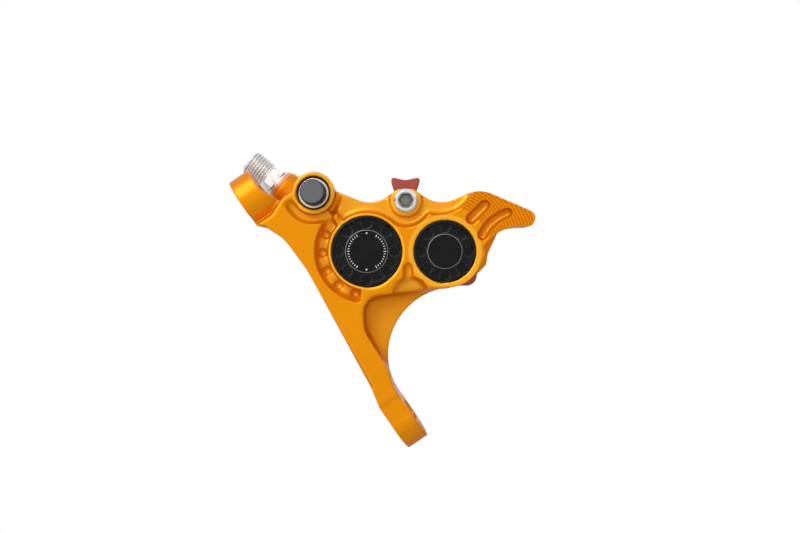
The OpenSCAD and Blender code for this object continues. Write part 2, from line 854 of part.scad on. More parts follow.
module hose_fitting() {
    r = fitting_thread_d / 2;
    flange = washer_thickness + 0.6;
    hex_end = flange + fitting_hex_length;
    color("silver")
        in_caliper()
            along_fitting()
                difference() {
                    union() {
                        turned(0, 0, [
                            [0, -spigot_length], [r - 0.6, -spigot_length], [r, 0.6 - spigot_length],
                            [r, washer_thickness], [fitting_hex / 2 + 0.2, washer_thickness],
                            [fitting_hex / 2 + 0.2, flange], [r - 0.5, flange], [r - 0.5, hex_end + 0.6],
                            [r, hex_end + 1.1], [r, hex_end + fitting_thread - 0.5],
                            [r - 0.5, hex_end + fitting_thread], [0, hex_end + fitting_thread]
                        ]);
                        translate([0, 0, flange])
                            cylinder(d = fitting_hex / cos(30), h = fitting_hex_length, $fn = 6);
                    }
                    translate([0, 0, -spigot_length - cut])
                        cylinder(r = 1.25, h = spigot_length + hex_end + fitting_thread + 2 * cut);
                }
}

module fitting_washer() {
    color([0.8, 0.5, 0.35])
        in_caliper()
            along_fitting()
                turned(0, 0, [
                    [fitting_thread_d / 2 + fit, 0], [fitting_hex / 2 + 0.3, 0],
                    [fitting_hex / 2 + 0.3, washer_thickness], [fitting_thread_d / 2 + fit, washer_thickness]
                ]);
}

// Drawing

module outboard_piece() {
    in_caliper()
        children();
}

module inboard_piece() {
    in_caliper()
        inboard()
            children();
}

caliper_body();
outboard_piece() bore_cap_large();
outboard_piece() bore_cap_small();
outboard_piece() bore_cap_oring(large_x, large_cap_d);  // bore_cap_oring_large
outboard_piece() bore_cap_oring(small_x, small_cap_d);  // bore_cap_oring_small
outboard_piece() piston(large_x, large_piston_d);  // piston_large_outer
inboard_piece() piston(large_x, large_piston_d);  // piston_large_inner
outboard_piece() piston(small_x, small_piston_d);  // piston_small_outer
inboard_piece() piston(small_x, small_piston_d);  // piston_small_inner
outboard_piece() insulator(large_x, large_piston_d);  // insulator_large_outer
inboard_piece() insulator(large_x, large_piston_d);  // insulator_large_inner
outboard_piece() insulator(small_x, small_piston_d);  // insulator_small_outer
inboard_piece() insulator(small_x, small_piston_d);  // insulator_small_inner
outboard_piece() seal(large_x, large_piston_d);  // seal_large_outer
inboard_piece() seal(large_x, large_piston_d);  // seal_large_inner
outboard_piece() seal(small_x, small_piston_d);  // seal_small_outer
inboard_piece() seal(small_x, small_piston_d);  // seal_small_inner
outboard_piece() pad_plate();  // pad_plate_outer
inboard_piece() pad_plate();  // pad_plate_inner
outboard_piece() pad_friction();  // pad_friction_outer
inboard_piece() pad_friction();  // pad_friction_inner
pad_spring();
pad_pin();
pad_pin_clip();
bleed_screw();
bleed_cap();
hose_fitting();
fitting_washer();
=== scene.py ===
"""Bicycle disc brake caliper, dressed for a studio picture.

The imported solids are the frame. Rigid pieces are copied, merged and given small rounded edges, and the body
becomes an even skin. The hose fitting, the bore caps, the rubber bleed cap and the tick ring are surfaces
worked out here. Lengths in the classes are millimetres, and angles are degrees.
"""
import logging
import math
from dataclasses import dataclass, field, replace
from enum import Enum

import bmesh
import bpy
import numpy as np
from mathutils import Matrix, Vector


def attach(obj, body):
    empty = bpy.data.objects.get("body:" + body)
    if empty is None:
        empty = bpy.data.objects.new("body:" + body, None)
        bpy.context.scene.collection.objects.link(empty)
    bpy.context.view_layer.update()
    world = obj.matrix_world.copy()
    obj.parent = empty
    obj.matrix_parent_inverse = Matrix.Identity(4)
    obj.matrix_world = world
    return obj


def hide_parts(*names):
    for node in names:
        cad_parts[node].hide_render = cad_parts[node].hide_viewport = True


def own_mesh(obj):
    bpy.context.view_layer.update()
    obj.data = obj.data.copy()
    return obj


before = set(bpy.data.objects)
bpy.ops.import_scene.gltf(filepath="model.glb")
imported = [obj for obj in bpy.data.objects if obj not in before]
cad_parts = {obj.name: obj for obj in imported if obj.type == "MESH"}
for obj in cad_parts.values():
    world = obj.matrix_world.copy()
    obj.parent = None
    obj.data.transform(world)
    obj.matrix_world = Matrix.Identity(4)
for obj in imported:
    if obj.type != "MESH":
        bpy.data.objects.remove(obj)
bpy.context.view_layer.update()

MM = 0.001
LOG = logging.getLogger("caliper")
Colour = tuple[float, float, float]
Feed = float | tuple | bpy.types.NodeSocket


class Marks(Enum):
    """Tool or process marks that a finish carries."""

    PLAIN = "plain"
    MILLED = "milled"
    TURNED = "turned"
    ROLLED = "rolled"
    SPECKLED = "speckled"


@dataclass(frozen=True)
class Place:
    """Where the caliper's own sketch lies in the frame.

    A sketch point is x along the bore line, z across it and h outboard of the rotor plane.
    """

    tilt: float = math.radians(34.2)
    reach: float = 30.5
    rise: float = 1.1
    rotor_plane: float = 12.0

    def point(self, x: np.ndarray | float, z: np.ndarray | float, h: np.ndarray | float) -> np.ndarray:
        """Turns sketch coordinates into frame coordinates.

        Args:
            x: Distances along the bore line, in millimetres.
            z: Distances across the bore line.
            h: Heights outboard of the rotor plane.

        Returns:
            Points in metres, with the coordinates in the last axis.
        """
        x, z, h = np.broadcast_arrays(np.asarray(x, float), np.asarray(z, float), np.asarray(h, float))
        across = self.reach + math.cos(self.tilt) * x + math.sin(self.tilt) * z
        up = self.rise - math.sin(self.tilt) * x + math.cos(self.tilt) * z
        return np.stack([across, self.rotor_plane - h, up], axis=-1) * MM

    def sketch(self, points: np.ndarray) -> tuple[np.ndarray, np.ndarray, np.ndarray]:
        """Turns frame coordinates back into sketch coordinates.

        Args:
            points: Points in metres, with the coordinates in the last axis.

        Returns:
            The distances along and across the bore line and the heights, in millimetres.
        """
        across = points[..., 0] / MM - self.reach
        up = points[..., 2] / MM - self.rise
        x = math.cos(self.tilt) * across - math.sin(self.tilt) * up
        z = math.sin(self.tilt) * across + math.cos(self.tilt) * up
        return x, z, self.rotor_plane - points[..., 1] / MM

    def right(self) -> np.ndarray:
        """Unit vector along the bore line."""
        return np.array([math.cos(self.tilt), 0.0, -math.sin(self.tilt)])

    def up(self) -> np.ndarray:
        """Unit vector across the bore line, upward in the picture."""
        return np.array([math.sin(self.tilt), 0.0, math.cos(self.tilt)])


PLACE = Place()
OUTBOARD = np.array([0.0, -1.0, 0.0])


class Graph:
    """A node tree with short calls that add and wire nodes."""

    def __init__(self, tree: bpy.types.NodeTree) -> None:
        """Keeps the tree, emptied of its default nodes."""
        self.tree = tree
        tree.nodes.clear()

    def add(self, kind: str, inputs: dict | None = None, **settings: object) -> bpy.types.Node:
        """Adds one node.

        Args:
            kind: Blender's type name for the node.
            inputs: Socket name or number to a constant, or to a socket that feeds it.
            **settings: Properties of the node.

        Returns:
            The node.
        """
        node = self.tree.nodes.new(kind)
        for name, value in settings.items():
            setattr(node, name, value)
        for key, value in (inputs or {}).items():
            if isinstance(value, bpy.types.NodeSocket):
                self.link(value, node.inputs[key])
            else:
                node.inputs[key].default_value = value
        return node

    def link(self, source: bpy.types.NodeSocket, target: bpy.types.NodeSocket) -> None:
        """Wires one socket to another."""
        self.tree.links.new(source, target)

    def math(self, operation: str, *values: Feed, clamp: bool = False) -> bpy.types.NodeSocket:
        """Adds a Math node and returns its output."""
        node = self.add("ShaderNodeMath", dict(enumerate(values)), operation=operation, use_clamp=clamp)
        return node.outputs[0]

    def vector(self, operation: str, *values: Feed) -> bpy.types.Node:
        """Adds a Vector Math node."""
        return self.add("ShaderNodeVectorMath", dict(enumerate(values)), operation=operation)

    def mix(self, factor: Feed, first: Feed, second: Feed) -> bpy.types.NodeSocket:
        """Mixes two colours, from the first at factor 0 to the second at factor 1."""
        return self.add("ShaderNodeMix", {0: factor, 6: first, 7: second}, data_type="RGBA").outputs[2]

    def group(self, tree: bpy.types.NodeTree, inputs: dict) -> bpy.types.Node:
        """Places a node group with its input values."""
        return self.add("ShaderNodeGroup", inputs, node_tree=tree)

    def coordinate(self, kind: str) -> bpy.types.NodeSocket:
        """Texture coordinates of one kind: Object or Normal."""
        return self.add("ShaderNodeTexCoord").outputs[kind]

    def arm(self, centre: Feed) -> bpy.types.NodeSocket:
        """Vector from a point to the surface."""
        return self.vector("SUBTRACT", self.coordinate("Object"), centre).outputs[0]

    def reach(self, centre: Feed) -> bpy.types.NodeSocket:
        """Distance from the axis along Y through a point: the length of the arm without its Y part."""
        flat = self.vector("MULTIPLY", self.arm(centre), (1.0, 0.0, 1.0))
        return self.vector("LENGTH", flat.outputs[0]).outputs["Value"]

    def noise(self, scale: Feed, detail: float, roughness: float = 0.5) -> bpy.types.NodeSocket:
        """Fractal noise over the surface, from 0 to 1.

        Args:
            scale: Waves in a metre.
            detail: Number of octaves.
            roughness: Share of each octave in the next.

        Returns:
            The noise's socket.
        """
        place = self.coordinate("Object")
        inputs = {"Vector": place, "Scale": scale, "Detail": detail, "Roughness": roughness}
        return self.add("ShaderNodeTexNoise", inputs).outputs["Fac"]


def rgba(colour: Colour) -> tuple[float, float, float, float]:
    """Gives a linear colour its alpha of 1."""
    return (*colour, 1.0)


def srgb(red: int, green: int, blue: int) -> Colour:
    """Turns display values into a linear colour.

    Args:
        red: Red, from 0 to 255.
        green: Green.
        blue: Blue.

    Returns:
        The linear colour.
    """
    share = np.array([red, green, blue]) / 255.0
    linear = np.where(share <= 0.04045, share / 12.92, ((share + 0.055) / 1.055) ** 2.4)
    return tuple(float(v) for v in linear)


def new_group(name: str, outputs: list[str], **inputs: float | tuple) -> tuple[Graph, object, object]:
    """Starts a shader node group.

    Args:
        name: Name of the group.
        outputs: Names of the float outputs.
        **inputs: Each input's default; one with three numbers is a vector.

    Returns:
        The graph, the sockets that the group is given and the sockets that it puts out.
    """
    tree = bpy.data.node_groups.new(name, "ShaderNodeTree")
    for socket_name, default in inputs.items():
        kind = "NodeSocketVector" if isinstance(default, tuple) else "NodeSocketFloat"
        socket = tree.interface.new_socket(socket_name, in_out="INPUT", socket_type=kind)
        socket.default_value = default
    for socket_name in outputs:
        tree.interface.new_socket(socket_name, in_out="OUTPUT", socket_type="NodeSocketFloat")
    graph = Graph(tree)
    return graph, graph.add("NodeGroupInput").outputs, graph.add("NodeGroupOutput").inputs


class Effects:
    """Node groups that several finishes share."""

    def __init__(self) -> None:
        """Builds each group once."""
        self.cloud = self.make_cloud()
        self.grain = self.make_grain()
        self.edges = self.make_edges()
        self.turning = self.make_turning()
        self.milling = self.make_milling()
        self.hollow_shade = self.make_hollow_shade()
        self.ring_patch = self.make_ring_patch()
        self.line = self.make_line()

    @staticmethod
    def make_cloud() -> bpy.types.NodeTree:
        """Slow change over the surface: fractal noise from 0 to 1 about a middle of a half.

        Returns:
            The group, which puts out a value.
        """
        graph, given, out = new_group("slow_change", ["Value"], Scale=60.0)
        graph.link(graph.noise(given["Scale"], detail=4.0, roughness=0.6), out["Value"])
        return graph.tree

    @staticmethod
    def make_grain() -> bpy.types.NodeTree:
        """Fine blasted or moulded grain: two octaves of noise.

        Returns:
            The group, which puts out a height and a sharp mask of specks.
        """
        sharpness = 14.0
        graph, given, out = new_group("fine_grain", ["Height", "Mask"], Scale=5000.0, Specks=0.62)
        noise = graph.noise(given["Scale"], detail=2.0, roughness=0.7)
        graph.link(noise, out["Height"])
        over = graph.math("SUBTRACT", noise, given["Specks"])
        graph.link(graph.math("MULTIPLY", over, sharpness, clamp=True), out["Mask"])
        return graph.tree

    @staticmethod
    def make_edges() -> bpy.types.NodeTree:
        """Edge wear with painted highlight: how far the rounded normal leans from the true one, broken up by
        noise.

        Returns:
            The group, which puts out a mask.
        """
        least = 0.35
        graph, given, out = new_group("edge_wear_and_highlight", ["Mask"], Radius=0.0003, Gain=6.0)
        rounded = graph.add("ShaderNodeBevel", {"Radius": given["Radius"]}, samples=6)
        true = graph.add("ShaderNodeNewGeometry")
        lean = graph.vector("DOT_PRODUCT", rounded.outputs[0], true.outputs["Normal"])
        raw = graph.math("MULTIPLY", graph.math("SUBTRACT", 1.0, lean.outputs["Value"]), given["Gain"])
        broken = graph.math("ADD", graph.noise(700.0, detail=3.0), least)
        graph.link(graph.math("MULTIPLY", raw, broken, clamp=True), out["Mask"])
        return graph.tree

    @staticmethod
    def make_turning() -> bpy.types.NodeTree:
        """Lathe marks: noise in the distance from an axis along Y, so that each ring has its own height.

        Returns:
            The group, which puts out a height.
        """
        graph, given, out = new_group("turning_rings", ["Height"], Centre=(0.0, 0.0, 0.0), Pitch=0.0002)
        turns = graph.math("DIVIDE", graph.reach(given["Centre"]), given["Pitch"])
        inputs = {"W": turns, "Scale": 1.0, "Detail": 2.0}
        noise = graph.add("ShaderNodeTexNoise", inputs, noise_dimensions="1D")
        graph.link(noise.outputs["Fac"], out["Height"])
        return graph.tree

    @staticmethod
    def make_milling() -> bpy.types.NodeTree:
        """Cutter marks: noise stretched along one direction, as passes of an end mill leave.

        Returns:
            The group, which puts out a height.
        """
        stretched = (1.0, 1.0, 0.06)
        graph, given, out = new_group("cutter_marks", ["Height"], Scale=3000.0, Turn=0.6)
        turn = graph.add("ShaderNodeCombineXYZ", {"Y": given["Turn"]})
        mapped = graph.add("ShaderNodeMapping", {
            "Vector": graph.coordinate("Object"), "Rotation": turn.outputs[0], "Scale": stretched})
        inputs = {"Vector": mapped.outputs[0], "Scale": given["Scale"], "Detail": 3.0}
        graph.link(graph.add("ShaderNodeTexNoise", inputs).outputs["Fac"], out["Height"])
        return graph.tree

    @staticmethod
    def make_hollow_shade() -> bpy.types.NodeTree:
        """Painted shade in recesses: the share of the sky that the piece itself hides, from 0 in the open to
        1.

        Returns:
            The group, which puts out a mask.
        """
        graph, given, out = new_group("painted_hollow_shade", ["Mask"], Distance=0.003, Gain=1.6)
        inputs = {"Distance": given["Distance"]}
        sky = graph.add("ShaderNodeAmbientOcclusion", inputs, samples=8, only_local=True)
        hidden = graph.math("SUBTRACT", 1.0, sky.outputs["AO"])
        graph.link(graph.math("MULTIPLY", hidden, given["Gain"], clamp=True), out["Mask"])
        return graph.tree

    @staticmethod
    def make_ring_patch() -> bpy.types.NodeTree:
        """A ring for painted light: 1 within a radius of an axis along Y and outboard of a level, with a soft
        border.

        Returns:
            The group, which puts out a mask.
        """
        border = 0.2 * MM
        graph, given, out = new_group("painted_light_ring", ["Mask"], Centre=(0.0, 0.0, 0.0), Radius=0.01)
        room = graph.math("SUBTRACT", given["Radius"], graph.reach(given["Centre"]))
        within = graph.math("MULTIPLY", room, 1.0 / border, clamp=True)
        parts = graph.add("ShaderNodeSeparateXYZ", {0: graph.arm(given["Centre"])})
        outer = graph.math("LESS_THAN", parts.outputs["Y"], 0.0)
        graph.link(graph.math("MULTIPLY", within, outer), out["Mask"])
        return graph.tree

    @staticmethod
    def make_line() -> bpy.types.NodeTree:
        """A painted highlight line round an axis along Y: 1 at its radius, falling to 0 over its half width.

        Returns:
            The group, which puts out a mask.
        """
        graph, given, out = new_group(
            "rim_highlight_line", ["Mask"], Centre=(0.0, 0.0, 0.0), Radius=0.005, Width=0.0002)
        off = graph.math("SUBTRACT", graph.reach(given["Centre"]), given["Radius"])
        share = graph.math("DIVIDE", graph.math("ABSOLUTE", off), given["Width"])
        graph.link(graph.math("SUBTRACT", 1.0, share, clamp=True), out["Mask"])
        return graph.tree


@dataclass(frozen=True)
class Finish:
    """One surface finish, which makes its own material.

    A floor is a height and the share of the painted light colour there, and it counts within its band of
    height, where the surface looks outboard. A painted ring is its axis in the sketch, its lowest height and
    its radius. Both carry painted light: highlight on the orange and the rubber, shade on the pin.
    """

    name: str
    colour: Colour
    shade: Colour
    metallic: float
    roughness: float
    spread: float = 0.12
    cloud_scale: float = 90.0
    grain_scale: float = 5000.0
    grain_depth: float = 0.004
    marks: Marks = Marks.PLAIN
    mark_depth: float = 0.006
    mark_pitch: float = 0.25
    axis: tuple[float, float] = (0.0, 0.0)
    # Edge wear with painted highlight in this colour; line_r adds a painted highlight line.
    wear_and_highlight_colour: Colour | None = None
    wear_and_highlight_gain: float = 5.0
    # Painted shade: this colour fills each recess, where the piece hides the sky.
    hollow_shade_colour: Colour | None = None
    hollow_shade_gain: float = 1.6
    hollow_shade_reach: float = 3.0
    # Painted shade: the surface turns towards this colour where it is seen edge-on.
    painted_grazing_shade: Colour | None = None
    painted_grazing_blend: float = 0.42
    specular: float = 0.5
    stretch: float = 0.0
    # Painted light in this colour on floors and rings: highlight on the orange and the rubber crown, shade on
    # the pin head.
    painted_light_colour: Colour | None = None
    floors: tuple[tuple[float, float], ...] = ()
    floor_band: float = 0.6
    floor_lean: float = 0.7
    floor_fade: float = 4.0
    painted_rings: tuple[tuple[float, float, float, float], ...] = ()
    line_r: float = 0.0
    line_width: float = 0.16
    speck_gain: float = 2.6
    speck_lift: float = 0.03

    def material(self, effects: Effects) -> bpy.types.Material:
        """Builds the material.

        Args:
            effects: The shared node groups.

        Returns:
            A material with one Principled shader.
        """
        made = bpy.data.materials.new(self.name)
        made.use_nodes = True
        graph = Graph(made.node_tree)
        shader = graph.add("ShaderNodeBsdfPrincipled", {
            "Metallic": self.metallic, "Specular IOR Level": self.specular, "Anisotropic": self.stretch})
        graph.add("ShaderNodeOutputMaterial", {"Surface": shader.outputs[0]})
        cloud = graph.group(effects.cloud, {"Scale": self.cloud_scale}).outputs["Value"]
        grain = graph.group(effects.grain, {"Scale": self.grain_scale})
        colour = self.surface_colour(graph, effects, cloud, grain.outputs["Mask"])
        graph.link(colour, shader.inputs["Base Color"])
        swing = graph.math("MULTIPLY", graph.math("SUBTRACT", cloud, 0.5), 2.0 * self.spread)
        graph.link(graph.math("ADD", swing, self.roughness, clamp=True), shader.inputs["Roughness"])
        height = graph.math("MULTIPLY", grain.outputs["Height"], self.grain_depth * MM)
        marks = self.mark_height(graph, effects)
        if marks is not None:
            height = graph.math("ADD", height, graph.math("MULTIPLY", marks, self.mark_depth * MM))
        bump = graph.add("ShaderNodeBump", {"Height": height, "Distance": 1.0, "Strength": 1.0})
        graph.link(bump.outputs["Normal"], shader.inputs["Normal"])
        if self.stretch:
            graph.link(self.ring_tangent(graph), shader.inputs["Tangent"])
        return made

    def surface_colour(self, graph: Graph, effects: Effects, cloud: bpy.types.NodeSocket,
                       specks: bpy.types.NodeSocket) -> bpy.types.NodeSocket:
        """Lays the colours over each other: base, specks, painted light on floors and rings, painted shade
        where the surface is seen edge-on, painted shade in recesses, edges with wear and painted highlight.

        Args:
            graph: The material's graph.
            effects: The shared node groups.
            cloud: Slow change from the colour to its shade.
            specks: Mask of the grain's specks.

        Returns:
            The colour's socket.
        """
        colour = graph.mix(cloud, rgba(self.colour), rgba(self.shade))
        if self.marks is Marks.SPECKLED:
            bright = tuple(min(1.0, self.speck_gain * c + self.speck_lift) for c in self.colour)
            colour = graph.mix(specks, colour, rgba(bright))
        # Painted light on the floors and rings that look outboard.
        if self.painted_light_colour is not None:
            colour = graph.mix(self.painted_light_mask(graph, effects), colour, rgba(self.painted_light_colour))
        # Painted shade where the surface is seen edge-on.
        if self.painted_grazing_shade is not None:
            lean = graph.add("ShaderNodeLayerWeight", {"Blend": self.painted_grazing_blend})
            colour = graph.mix(lean.outputs["Facing"], colour, rgba(self.painted_grazing_shade))
        # Painted shade in each recess.
        if self.hollow_shade_colour is not None:
            inputs = {"Distance": self.hollow_shade_reach * MM, "Gain": self.hollow_shade_gain}
            painted_hollow_shade = graph.group(effects.hollow_shade, inputs)
            colour = graph.mix(painted_hollow_shade.outputs["Mask"], colour, rgba(self.hollow_shade_colour))
        # Edge wear with painted highlight.
        if self.wear_and_highlight_colour is not None:
            colour = graph.mix(self.wear_and_highlight_mask(graph, effects), colour, rgba(self.wear_and_highlight_colour))
        return colour

    def wear_and_highlight_mask(self, graph: Graph, effects: Effects) -> bpy.types.NodeSocket:
        """Marks the edges, for wear with painted highlight, and the painted highlight line where the finish
        has one.

        Args:
            graph: The material's graph.
            effects: The shared node groups.

        Returns:
            The mask's socket.
        """
        wear_and_highlight = graph.group(effects.edges, {"Gain": self.wear_and_highlight_gain}).outputs["Mask"]
        if not self.line_r:
            return wear_and_highlight
        inputs = {"Centre": self.axis_point(), "Radius": self.line_r * MM, "Width": self.line_width * MM}
        return graph.math("MAXIMUM", wear_and_highlight, graph.group(effects.line, inputs).outputs["Mask"])

    def axis_point(self) -> tuple[float, float, float]:
        """The finish's turning axis as a point of the frame."""
        return tuple(float(v) for v in PLACE.point(*self.axis, 0.0))

    def mark_height(self, graph: Graph, effects: Effects) -> bpy.types.NodeSocket | None:
        """Places the node group for this finish's marks.

        Args:
            graph: The material's graph.
            effects: The shared node groups.

        Returns:
            The height's socket, or None for a finish without marks.
        """
        if self.marks is Marks.TURNED:
            inputs = {"Centre": self.axis_point(), "Pitch": self.mark_pitch * MM}
            return graph.group(effects.turning, inputs).outputs["Height"]
        if self.marks in (Marks.MILLED, Marks.ROLLED):
            return graph.group(effects.milling, {"Scale": 1.0 / (self.mark_pitch * MM)}).outputs["Height"]
        return None

    def painted_light_mask(self, graph: Graph, effects: Effects) -> bpy.types.NodeSocket:
        """Marks where light is painted: the milled floors, each within a soft band of its height, and the
        painted rings.

        Args:
            graph: The material's graph.
            effects: The shared node groups.

        Returns:
            The mask's socket.
        """
        parts = graph.add("ShaderNodeSeparateXYZ", {0: graph.coordinate("Object")})
        looks = graph.add("ShaderNodeSeparateXYZ", {0: graph.coordinate("Normal")})
        outboard = graph.math("MULTIPLY", looks.outputs["Y"], -self.floor_fade)
        level_face = graph.math("SUBTRACT", outboard, self.floor_fade * self.floor_lean, clamp=True)
        masks = []
        for height, share in self.floors:
            level = (PLACE.rotor_plane - height) * MM
            off = graph.math("ABSOLUTE", graph.math("SUBTRACT", parts.outputs["Y"], level))
            fall = graph.math("MULTIPLY", off, share / (self.floor_band * MM))
            band = graph.math("SUBTRACT", share, fall, clamp=True)
            masks.append(graph.math("MULTIPLY", band, level_face))
        for x, z, low, radius in self.painted_rings:
            inputs = {"Centre": tuple(float(v) for v in PLACE.point(x, z, low)), "Radius": radius * MM}
            masks.append(graph.group(effects.ring_patch, inputs).outputs["Mask"])
        pale = masks[0]
        for mask in masks[1:]:
            pale = graph.math("MAXIMUM", pale, mask)
        return pale

    def ring_tangent(self, graph: Graph) -> bpy.types.NodeSocket:
        """Direction round the turning axis: the arm from the axis, turned a quarter about Y."""
        side = graph.vector("CROSS_PRODUCT", graph.arm(self.axis_point()), (0.0, 1.0, 0.0))
        return graph.vector("NORMALIZE", side.outputs[0]).outputs[0]


def grid_faces(rows: int, columns: int, ring: bool) -> np.ndarray:
    """Quads between the lines of a grid whose columns close on themselves.

    Args:
        rows: Number of lines.
        columns: Number of points on a line.
        ring: Whether the last line also joins the first.

    Returns:
        An array of quads, as indices into the flattened grid.
    """
    line, step = np.meshgrid(np.arange(rows if ring else rows - 1), np.arange(columns), indexing="ij")
    here, there = line * columns, (line + 1) % rows * columns
    beside = (step + 1) % columns
    return np.stack([here + step, here + beside, there + beside, there + step], axis=-1).reshape(-1, 4)


def mesh_object(name: str, points: np.ndarray, faces: np.ndarray, sharp: float = 32.0) -> bpy.types.Object:
    """Puts arrays into a mesh object at the origin.

    Args:
        name: Name of the piece.
        points: Vertices in metres.
        faces: Faces of one size, as vertex indices.
        sharp: Edges that turn by more than this stay sharp, in degrees.

    Returns:
        The object, in the scene.
    """
    mesh = bpy.data.meshes.new(name)
    mesh.from_pydata(points.reshape(-1, 3).tolist(), [], faces.tolist())
    work = bmesh.new()
    work.from_mesh(mesh)
    bmesh.ops.remove_doubles(work, verts=work.verts, dist=1e-8)
    work.to_mesh(mesh)
    work.free()
    mesh.polygons.foreach_set("use_smooth", np.ones(len(mesh.polygons), bool))
    mesh.set_sharp_from_angle(angle=math.radians(sharp))
    made = bpy.data.objects.new(name, mesh)
    bpy.context.scene.collection.objects.link(made)
    return made


def vertex_rows(mesh: bpy.types.Mesh, name: str) -> np.ndarray:
    """One vector for each vertex of a mesh.

    Args:
        mesh: The mesh.
        name: "co" for the places, in metres, or "normal" for the normals.

    Returns:
        An array with one row for each vertex.
    """
    rows = np.empty(3 * len(mesh.vertices))
    mesh.vertices.foreach_get(name, rows)
    return rows.reshape(-1, 3)


def merged_arrays(node: str) -> tuple[np.ndarray, np.ndarray]:
    """Reads a CAD node's loose triangles and merges their corners.

    Args:
        node: Name of the CAD node.

    Returns:
        Vertices in metres, and triangles without the ones that collapsed.
    """
    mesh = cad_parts[node].data
    points = vertex_rows(mesh, "co")
    corners = np.empty(len(mesh.loops), np.int64)
    mesh.loops.foreach_get("vertex_index", corners)
    places = np.round(points / (0.001 * MM)).astype(np.int64)
    keys, lookup = np.unique(places, axis=0, return_inverse=True)
    lookup = lookup.ravel()
    first = np.empty(len(keys), np.int64)
    first[lookup] = np.arange(len(points))
    faces = lookup[corners].reshape(-1, 3)
    whole = (faces != np.roll(faces, 1, axis=1)).all(axis=1)
    return points[first], faces[whole]


def put_points(mesh: bpy.types.Mesh, points: np.ndarray) -> None:
    """Moves a mesh's vertices to new places."""
    mesh.vertices.foreach_set("co", points.ravel())
    mesh.update()


def edge_pairs(mesh: bpy.types.Mesh) -> np.ndarray:
    """The two vertices of each edge of a mesh.

    Args:
        mesh: The mesh.

    Returns:
        An array with one pair of vertex indices for each edge.
    """
    pairs = np.empty(2 * len(mesh.edges), np.int64)
    mesh.edges.foreach_get("vertices", pairs)
    return pairs.reshape(-1, 2)


def neighbour_mean(values: np.ndarray, edges: np.ndarray) -> np.ndarray:
    """Mean of each vertex's neighbours along the edges.

    Args:
        values: One row for each vertex.
        edges: Pairs of vertex indices.

    Returns:
        The means, one row for each vertex.
    """
    one, two = edges.T
    size = len(values)
    sums = [np.bincount(one, part[two], size) + np.bincount(two, part[one], size) for part in values.T]
    return np.stack(sums, axis=-1) / np.bincount(edges.ravel(), minlength=size)[:, None]


def edge_turns(mesh: bpy.types.Mesh) -> np.ndarray:
    """Angle between the two faces at each edge: the arc cosine of their normals' product.

    Args:
        mesh: The mesh.

    Returns:
        One angle in degrees for each edge, and 0 at an edge without two faces.
    """
    edges = np.empty(len(mesh.loops), np.int64)
    mesh.loops.foreach_get("edge_index", edges)
    totals = np.empty(len(mesh.polygons), np.int64)
    mesh.polygons.foreach_get("loop_total", totals)
    normals = np.empty(3 * len(mesh.polygons))
    mesh.polygons.foreach_get("normal", normals)
    normals = normals.reshape(-1, 3)
    owner = np.repeat(np.arange(len(totals)), totals)[np.argsort(edges, kind="stable")]
    count = np.bincount(edges, minlength=len(mesh.edges))
    start = np.cumsum(count) - count
    paired = count == 2
    turns = np.zeros(len(mesh.edges))
    one, two = normals[owner[start[paired]]], normals[owner[start[paired] + 1]]
    turns[paired] = np.degrees(np.arccos(np.clip((one * two).sum(axis=1), -1.0, 1.0)))
    return turns


def settle(made: bpy.types.Object, modifier: bpy.types.Modifier) -> None:
    """Works a modifier into the object's mesh and takes it off.

    Args:
        made: The object.
        modifier: Its only modifier.
    """
    bpy.context.view_layer.update()
    graph = bpy.context.evaluated_depsgraph_get()
    mesh = bpy.data.meshes.new_from_object(made.evaluated_get(graph))
    made.modifiers.remove(modifier)
    old, made.data = made.data, mesh
    bpy.data.meshes.remove(old)


MATERIALS: dict[str, bpy.types.Material] = {}


def material_of(finish: Finish, effects: Effects) -> bpy.types.Material:
    """The finish's material, made on first use.

    Args:
        finish: The finish.
        effects: The shared node groups.

    Returns:
        The material.
    """
    if finish.name not in MATERIALS:
        MATERIALS[finish.name] = finish.material(effects)
    return MATERIALS[finish.name]


@dataclass
class Piece:
    """A rigid CAD node, shown as a merged copy, with rounded edges where its faces allow them."""

    node: str
    body: str
    finish: Finish
    slot: str
    edge: float = 0.0
    sharp: float = 34.0
    flat: float = 0.04

    def build(self, effects: Effects) -> bpy.types.Object:
        """Copies, rounds and dresses the node.

        Args:
            effects: The shared node groups.

        Returns:
            The piece that stands for the node.
        """
        points, faces = merged_arrays(self.node)
        made = mesh_object(self.node + "_dressed", self.shape(points), faces)
        if self.edge:
            self.round_edges(made)
        else:
            made.modifiers.new("even_normals", "WEIGHTED_NORMAL").keep_sharp = True
        made.data.materials.append(material_of(self.finish, effects))
        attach(made, self.body)
        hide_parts(self.node)
        return made

    def shape(self, points: np.ndarray) -> np.ndarray:
        """Leaves the node's points where they are."""
        return points

    def round_edges(self, made: bpy.types.Object) -> None:
        """Joins the triangles of each plane into whole faces and rounds the sharp edges with a live Bevel.

        Args:
            made: The piece.
        """
        whole = made.modifiers.new("whole_faces", "DECIMATE")
        whole.decimate_type = "DISSOLVE"
        whole.angle_limit = math.radians(self.flat)
        settle(made, whole)
        mesh = made.data
        sharp = edge_turns(mesh) > self.sharp
        if "sharp_edge" in mesh.attributes:
            mesh.attributes.remove(mesh.attributes["sharp_edge"])
        layer = mesh.attributes.new("bevel_weight_edge", "FLOAT", "EDGE")
        layer.data.foreach_set("value", sharp.astype(np.float32))
        rounding = made.modifiers.new("rounded_edges", "BEVEL")
        rounding.width = self.edge * MM
        rounding.segments = 2
        rounding.limit_method = "WEIGHT"
        rounding.use_clamp_overlap = False
        rounding.harden_normals = True


